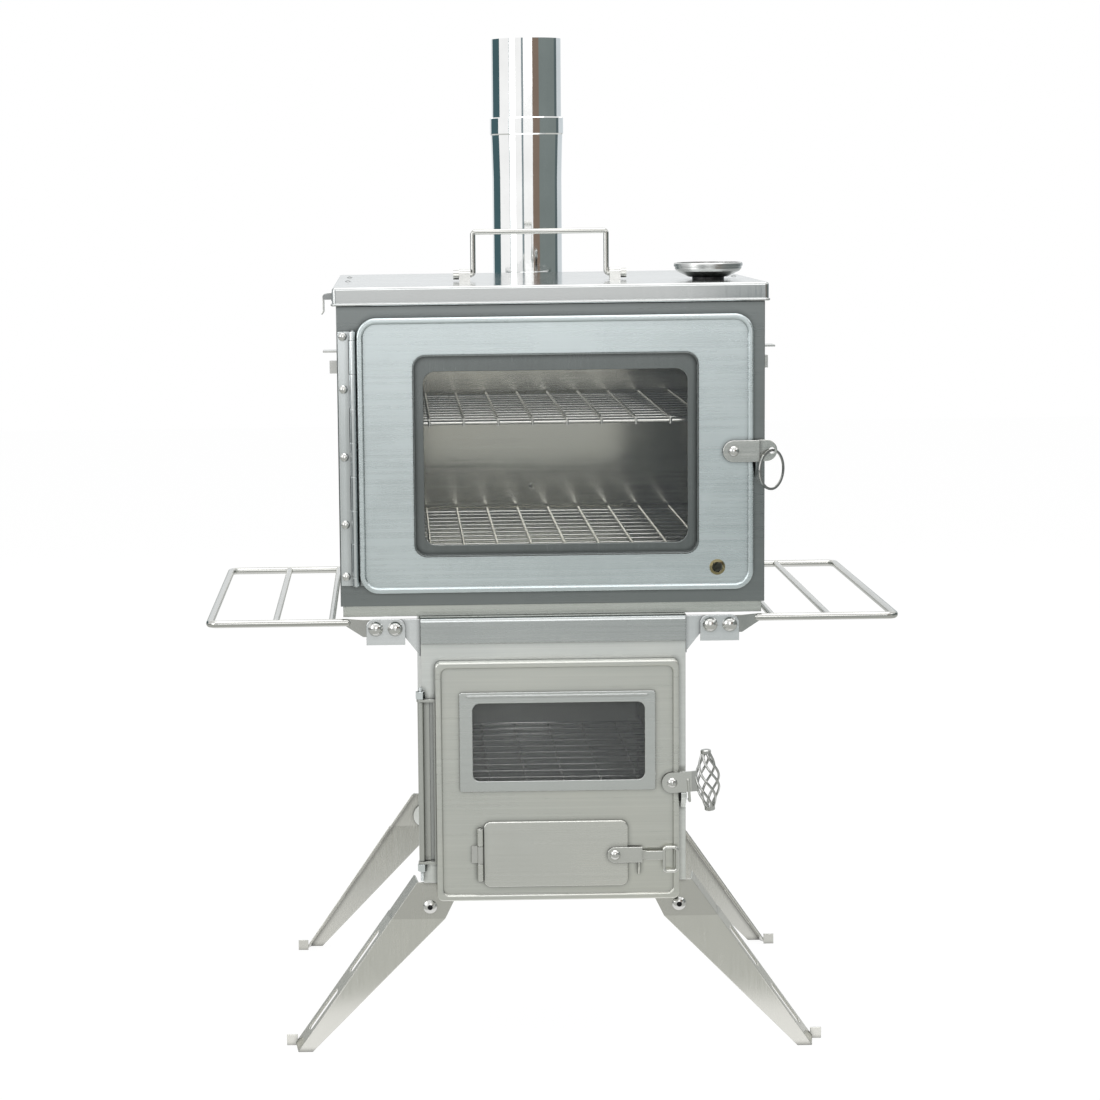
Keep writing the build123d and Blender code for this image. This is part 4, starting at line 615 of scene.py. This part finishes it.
# %% Weld beads
def weld_bead(name, body, x, y, z, radius, size):
    """A collar round a rod along Y. Its thickness is size times three quarters, plus a quarter of
    the cosine of twice the turn, so it swells on the two sides where the rods meet."""
    turns, sides = np.meshgrid(once_round(28), np.linspace(0.0, 2.0 * np.pi, 13))
    swell = size * (0.75 + 0.25 * np.cos(2.0 * turns))
    r = radius + swell * np.cos(sides) * 0.8
    along = swell * np.sin(sides)
    points = np.stack([x + r * np.cos(turns), y + along, z + r * np.sin(turns)], axis=-1)
    round_piece(name, points, body, "wire")


shelf_low, shelf_high = (np.array(corner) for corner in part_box("shelf_left"))
frame_rod_r = 3.0 * MM
cross_rod_r = 2.5 * MM
cross_rods = {"outer": 222.2 * MM, "inner": 177.0 * MM}
rod_z = 355.7 * MM
bead_inward = 2.9 * MM
bead_size = 0.9 * MM
bead_rows = {"front": shelf_low[1] + frame_rod_r + bead_inward,
             "rear": shelf_high[1] - frame_rod_r - bead_inward}
for side, body in ((-1.0, "left_shelf"), (1.0, "right_shelf")):
    for place, x in cross_rods.items():
        for end, y in bead_rows.items():
            weld_bead(f"weld_{body}_{place}_{end}", body, side * x, y, rod_z, cross_rod_r, bead_size)
print("weld beads:", 2 * len(cross_rods) * len(bead_rows))


# %% [markdown]
# ## The floors of the hollow rivets
# The legs turn on semi-tubular rivets: a bore runs into the head and stops inside the shank. The
# bore shows as a black dot because no light comes back from its depth, so a dull black disc
# stands across each bore, well below its mouth.

# %% Bore floors
def bore_floor(name, x, y, z, radius):
    """A disc across a bore along Y: a ring's radius times the cosine and the sine of the turn,
    from a fiftieth of the full radius outwards."""
    turns, rings = np.meshgrid(once_round(24), np.array([0.02, 1.0]) * radius)
    points = np.stack([x + rings * np.cos(turns), np.full_like(turns, y), z + rings * np.sin(turns)],
                      axis=-1)
    round_piece(name, points, "stove", "magnet")


bore_depth = 2.6 * MM
for end, y in (("front", eyelet_low[1] + bore_depth), ("rear", eyelet_high[1] - bore_depth)):
    for place, side in (("left", -1.0), ("right", 1.0)):
        bore_floor(f"bore_floor_{end}_{place}", side * bore_center[0], y, bore_center[2], bore_r)
print("bore floors at x", round(bore_center[0], 4), "on both sides, front and rear")


# %% [markdown]
# ## Bars on the dial
# A spring thermometer has a white face with ticks on three quarters of a circle. The ticks could
# be painted by a texture, but print has a crisp edge at any distance, so each tick is a thin bar
# lying on the face. The red zone is a row of short bars side by side.

# %% Dial bars
dial_low, dial_high = (np.array(corner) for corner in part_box("thermometer_dial"))
dial_center = (dial_low + dial_high) / 2
dial_top = dial_high[2]
dial_r = (dial_high[0] - dial_low[0]) / 2
print_lift = 0.05 * MM


def dial_bars(name, angles, inner, outer, width, look):
    """Thin bars that point at the dial's centre: four corners each, at the given radii."""
    out = np.stack([np.cos(angles), np.sin(angles), np.zeros_like(angles)], axis=-1)[:, None]
    across = np.stack([-np.sin(angles), np.cos(angles), np.zeros_like(angles)], axis=-1)[:, None]
    radial = np.stack([inner, outer, outer, inner], axis=-1)[..., None]
    lateral = np.array([-0.5, -0.5, 0.5, 0.5])[None, :, None] * width
    corners = dial_center + out * radial + across * lateral
    corners[..., 2] = dial_top + print_lift
    faces = np.arange(len(angles) * 4).reshape(-1, 4)
    mesh_piece(name, corners.reshape(-1, 3), faces, "lid", look)


print("dial radius", round(dial_r / MM, 1), "mm")


# %% [markdown]
# ## Ticks and zone
# The scale runs from 0 to 300 in thirty steps of ten, with a long tick at every fifty. Radii are
# counted inwards from the rim, so the print follows the size of the dial.

# %% Ticks and zone
sweep_start, sweep_deg = 225.0, 270.0
tick_count = 31
ticks_per_long = 5
tick_outer = np.full(tick_count, dial_r - 1.2 * MM)
tick_short, tick_long = dial_r - 3.0 * MM, dial_r - 4.6 * MM
tick_w = 0.55 * MM
tick_angles = np.radians(sweep_start - np.linspace(0.0, sweep_deg, tick_count))
is_long = np.arange(tick_count) % ticks_per_long == 0
tick_inner = np.where(is_long, tick_long, tick_short)
dial_bars("dial_ticks", tick_angles, tick_inner, tick_outer, tick_w, "ink")
zone_start, zone_stop, zone_bars = 30.0, -38.0, 40
zone_angles = np.radians(np.linspace(zone_start, zone_stop, zone_bars))
zone_inner, zone_outer = np.full(zone_bars, dial_r - 7.2 * MM), np.full(zone_bars, dial_r - 5.9 * MM)
zone_w = 0.75 * MM
dial_bars("dial_zone", zone_angles, zone_inner, zone_outer, zone_w, "needle")
print("ticks:", tick_count, "of which long:", int(is_long.sum()))


# %% [markdown]
# ## Numbers
# Numbers on the dial are plain text at every long tick, from 0 to 300 in fifties. Text has a place
# of its own while it is a curve, so it is made a mesh first and its points are moved instead.

# %% Dial numbers
ink_height = 0.02 * MM
number_lift = 0.04 * MM
number_size = 3.4 * MM
number_step = 50
number_r = dial_r - 9.6 * MM


def text_mesh(name, words, size, center):
    """Flat text turned into a mesh whose own points are moved to their place, on a body."""
    curve = bpy.data.curves.new(name, "FONT")
    curve.body = words
    curve.size = size
    curve.align_x = "CENTER"
    curve.align_y = "CENTER"
    curve.extrude = ink_height
    holder = bpy.data.objects.new(name + "_curve", curve)
    bpy.context.scene.collection.objects.link(holder)
    bpy.context.view_layer.update()
    mesh = bpy.data.meshes.new_from_object(holder)
    bpy.data.objects.remove(holder)
    mesh.transform(Matrix.Translation(center))
    mesh.materials.clear()
    mesh.materials.append(looks["ink"])
    made = bpy.data.objects.new(name, mesh)
    bpy.context.scene.collection.objects.link(made)
    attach(made, "lid")


for step, angle in enumerate(tick_angles[is_long]):
    place = (dial_center[0] + number_r * np.cos(angle), dial_center[1] + number_r * np.sin(angle),
             dial_top + number_lift)
    text_mesh(f"dial_number_{step}", str(step * number_step), number_size, place)
print("dial numbers:", int(is_long.sum()))


# %% [markdown]
# ## Camera
# The camera stands a little left of the object's middle and looks slightly down. The object lies
# beside the lens's axis, which is a shift, not a turn: a turn would make the uprights lean.

# %% Camera
lens_mm, sensor_mm, lens_shift = 92.6, 36.0, 0.139
far_clip = 60.0
camera_place = (-0.1238, -2.4115, 0.7002)
tilt_down, roll = np.radians(7.27), np.radians(-0.8)
lens_data = bpy.data.cameras.new("camera")
lens_data.lens = lens_mm
lens_data.sensor_width = sensor_mm
lens_data.shift_x = lens_shift
lens_data.clip_end = far_clip
camera = bpy.data.objects.new("camera", lens_data)
camera.matrix_world = (Matrix.Translation(camera_place)
                       @ Matrix.Rotation(np.pi / 2 - tilt_down, 4, "X")
                       @ Matrix.Rotation(roll, 4, "Z"))
bpy.context.scene.collection.objects.link(camera)
bpy.context.scene.camera = camera
print("camera at", camera_place)


# %% [markdown]
# ## White to the eye, grey to the light
# Steel shows its surroundings, so the studio is built for its reflections. The camera, mirrors
# and glass see white all round, and what lights the dull surfaces is a softer grey sky. One mix
# of two shaders does it for the floor and for the world, by the kind of ray that arrives.

# %% Two faces of the studio
def backdrop(tree, seen, unseen, output):
    """The seen shader for camera, mirror and glass rays, and the unseen one for all other light."""
    seen_by = [make(tree, "ShaderNodeLightPath", outlet=f"Is {kind} Ray")
               for kind in ("Camera", "Glossy", "Transmission")]
    direct = seen_by[0].math("MAXIMUM", seen_by[0], seen_by[1])
    direct = direct.math("MAXIMUM", direct, seen_by[2])
    mix = make(tree, "ShaderNodeMixShader", inputs={0: direct, 1: unseen, 2: seen})
    tree.links.new(mix.socket, output)


print("three kinds of ray see the white studio")


# %% [markdown]
# ## Floor
# The floor is mostly its own white, with enough plain paint in it to hold a faint shadow. The
# white is a little above one, to make up for the share that the paint takes. Then the far edge
# doesn't show as a horizon.

# %% Floor
floor_half = 6.0
floor_glow = 1.08
shadow_share = 0.12
corners = [(x * floor_half, y * floor_half, 0.0) for x, y in ((-1, -1), (1, -1), (1, 1), (-1, 1))]
floor_mesh = bpy.data.meshes.new("floor")
floor_mesh.from_pydata(corners, [], [(0, 1, 2, 3)])
floor = bpy.data.objects.new("floor", floor_mesh)
bpy.context.scene.collection.objects.link(floor)
floor_look = bpy.data.materials.new("floor")
floor_look.use_nodes = True
tree = floor_look.node_tree
pale = make(tree, "ShaderNodeBsdfDiffuse", inputs={"Color": (0.80, 0.80, 0.79, 1.0)})
white = make(tree, "ShaderNodeEmission", inputs={"Color": (1.0, 1.0, 1.0, 1.0), "Strength": floor_glow})
shadowed = make(tree, "ShaderNodeMixShader", inputs={0: shadow_share, 1: white, 2: pale})
backdrop(tree, shadowed, pale, tree.nodes["Material Output"].inputs[0])
floor_mesh.materials.append(floor_look)
print("floor", 2 * floor_half, "m wide")


# %% [markdown]
# ## World
# A flat grey world would light every side the same. A sky that is darker near the ground gives
# upper faces a little more light than lower ones, as in a room with a pale ceiling.

# %% World
sky_low, sky_high = (0.30, 0.31, 0.33), (0.85, 0.85, 0.86)
sky_strength = 0.6
world = bpy.data.worlds.new("studio")
bpy.context.scene.world = world
world.use_nodes = True
tree = world.node_tree
tree.nodes.clear()
direction = make(tree, "ShaderNodeTexCoord", outlet="Generated")
height = make(tree, "ShaderNodeSeparateXYZ", inputs={0: direction}, outlet="Z")
sky = blend(height.between(-0.1, 0.9), sky_low, sky_high)
around = make(tree, "ShaderNodeBackground", inputs={"Color": sky, "Strength": sky_strength})
behind = make(tree, "ShaderNodeBackground", inputs={"Color": (1.0, 1.0, 1.0, 1.0), "Strength": 1.0})
backdrop(tree, behind, around, tree.nodes.new("ShaderNodeOutputWorld").inputs[0])
print("the world is white to the camera")


# %% [markdown]
# ## Cards for the mirrors
# Bright metal in an all-white room would vanish, so grey cards stand round it, as they do for
# silverware in a studio. Each card is a patch of a drum or a disc round the flue, between two
# bearings counted from the front towards the right. Mirrors see the cards; the camera and the
# light don't.

# %% Card maker
card_columns = 49
flue_low, flue_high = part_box("flue_upper")
flue_x, flue_y = (flue_low[0] + flue_high[0]) / 2, (flue_low[1] + flue_high[1]) / 2


def card(name, shade, bearings, radii, levels):
    """Bearing runs along a card and radius with height across it: x and y are sine and cosine."""
    turns, across = np.meshgrid(np.radians(np.linspace(*bearings, card_columns)), (0.0, 1.0))
    radius = radii[0] + (radii[1] - radii[0]) * across
    level = levels[0] + (levels[1] - levels[0]) * across
    x, y = flue_x + radius * np.sin(turns), flue_y - radius * np.cos(turns)
    points = np.stack([x, y, level], axis=-1)
    mesh = bpy.data.meshes.new(name)
    mesh.from_pydata(points.reshape(-1, 3).tolist(), [], grid_faces(*turns.shape).tolist())
    look = bpy.data.materials.new(name)
    look.use_nodes = True
    glow = make(look.node_tree, "ShaderNodeEmission", inputs={"Color": (*shade, 1.0)})
    look.node_tree.links.new(glow.socket, look.node_tree.nodes["Material Output"].inputs[0])
    mesh.materials.append(look)
    made = bpy.data.objects.new(name, mesh)
    bpy.context.scene.collection.objects.link(made)
    made.visible_camera = False
    made.visible_diffuse = False
    made.visible_transmission = False
    made.visible_shadow = False


print("the cards stand round x", round(flue_x, 4), "and y", round(flue_y, 4))


# %% [markdown]
# ## Tall cards
# The flue is a round mirror: it squeezes the whole room into narrow upright stripes. Every grey
# stripe on it is one card, as wide in bearing as twice the stripe's angle on the tube. The stripes
# could be painted on the tube, but then they would stay where they are as the camera moves.

# %% Tall cards
drum_r = 2.0
eye_levels = (0.45, 1.25)
tall_cards = {
    "card_back_left": (-166.0, -148.0, (0.80, 0.84, 0.86)),
    "card_left_dark": (-148.0, -102.0, (0.06, 0.115, 0.13)),
    "card_left_line": (-61.0, -58.5, (0.30, 0.36, 0.37)),
    "card_front_line": (-18.5, -13.0, (0.22, 0.27, 0.29)),
    "card_warm": (17.0, 39.0, (0.22, 0.165, 0.13)),
    "card_right_grey": (39.0, 103.0, (0.19, 0.222, 0.216)),
    "card_right_dark": (103.0, 117.0, (0.10, 0.13, 0.135)),
    "card_back_right": (117.0, 160.0, (0.64, 0.69, 0.72)),
    "card_back_pale": (160.0, 194.0, (0.90, 0.92, 0.93)),
}
for name, (start, stop, shade) in tall_cards.items():
    card(name, shade, (start, stop), (drum_r, drum_r), eye_levels)
print("tall cards:", len(tall_cards))


# %% [markdown]
# ## Table and low cards
# The flat fronts look down into the table, so its grey is what makes them mid-grey while the lid
# stays light. The table is darker near the stove than far from it, and a low ring closes it all
# round. Dark low cards at both sides are what rods and folded edges show, and one at the front
# right is what the right edges of the fronts see.

# %% Table and low cards
near_r, middle_r, far_r = 0.5, 1.4, 2.6
all_round = (-180.0, 180.0)
table_z, foot_z, ring_top_z, front_top_z = 0.003, 0.02, 0.44, 0.60
dark_low = (0.16, 0.17, 0.17)
low_cards = {
    "table_near": ((0.58, 0.59, 0.565), all_round, (near_r, middle_r), (table_z, table_z)),
    "table_far": ((0.66, 0.675, 0.66), all_round, (middle_r, far_r), (table_z, table_z)),
    "low_ring": ((0.50, 0.51, 0.495), all_round, (far_r, far_r), (table_z, ring_top_z)),
    "low_left": (dark_low, (-130.0, -50.0), (drum_r, drum_r), (foot_z, ring_top_z)),
    "low_right": (dark_low, (50.0, 130.0), (drum_r, drum_r), (foot_z, ring_top_z)),
    "low_front_right": ((0.34, 0.38, 0.38), (9.0, 26.0), (drum_r, drum_r), (foot_z, front_top_z)),
}
for name, (shade, bearings, radii, levels) in low_cards.items():
    card(name, shade, bearings, radii, levels)
print("low cards:", len(low_cards))


# %% [markdown]
# ## Soft boxes
# Five weak, wide lamps light the dull surfaces and the insides. They could be fewer and stronger,
# but a small strong lamp leaves a hard spot on every rivet. The strongest hangs overhead.

# %% Soft boxes
def panel(name, place, target, size, watts):
    """A soft box: a rectangle of light, width by height, at a place and facing a target."""
    data = bpy.data.lights.new(name, "AREA")
    data.shape = "RECTANGLE"
    data.size, data.size_y = size
    data.energy = watts
    lamp = bpy.data.objects.new(name, data)
    place, target = np.array(place, dtype=float), np.array(target, dtype=float)
    back = (place - target) / np.linalg.norm(place - target)
    right = np.cross((0.0, 0.0, 1.0), back)
    right /= np.linalg.norm(right)
    up = np.cross(back, right)
    turn = Matrix((right, up, back)).transposed().to_4x4()
    lamp.matrix_world = Matrix.Translation(place) @ turn
    bpy.context.scene.collection.objects.link(lamp)


mid_body = (0.0, 0.0, 0.45)
soft_boxes = {
    "left_box": ((-2.2, -1.6, 1.3), mid_body, (1.1, 2.0), 14.0),
    "right_box": ((2.3, -1.3, 1.2), mid_body, (1.0, 1.9), 10.0),
    "top_box": ((0.0, -0.2, 2.6), (0.0, 0.05, 0.4), (2.2, 1.8), 22.0),
    "front_box": ((0.5, -3.4, 1.5), mid_body, (2.4, 1.2), 12.0),
    "back_box": ((0.2, 2.6, 1.5), (0.0, 0.0, 0.5), (2.6, 1.4), 5.0),
}
for name, (place, target, size, watts) in soft_boxes.items():
    panel(name, place, target, size, watts)
print("soft boxes:", len(soft_boxes))


# %% [markdown]
# ## Finish
# The view transform stays plain so that a colour chosen here is the colour that is seen.

# %% Finish
bpy.context.scene.view_settings.view_transform = "Standard"
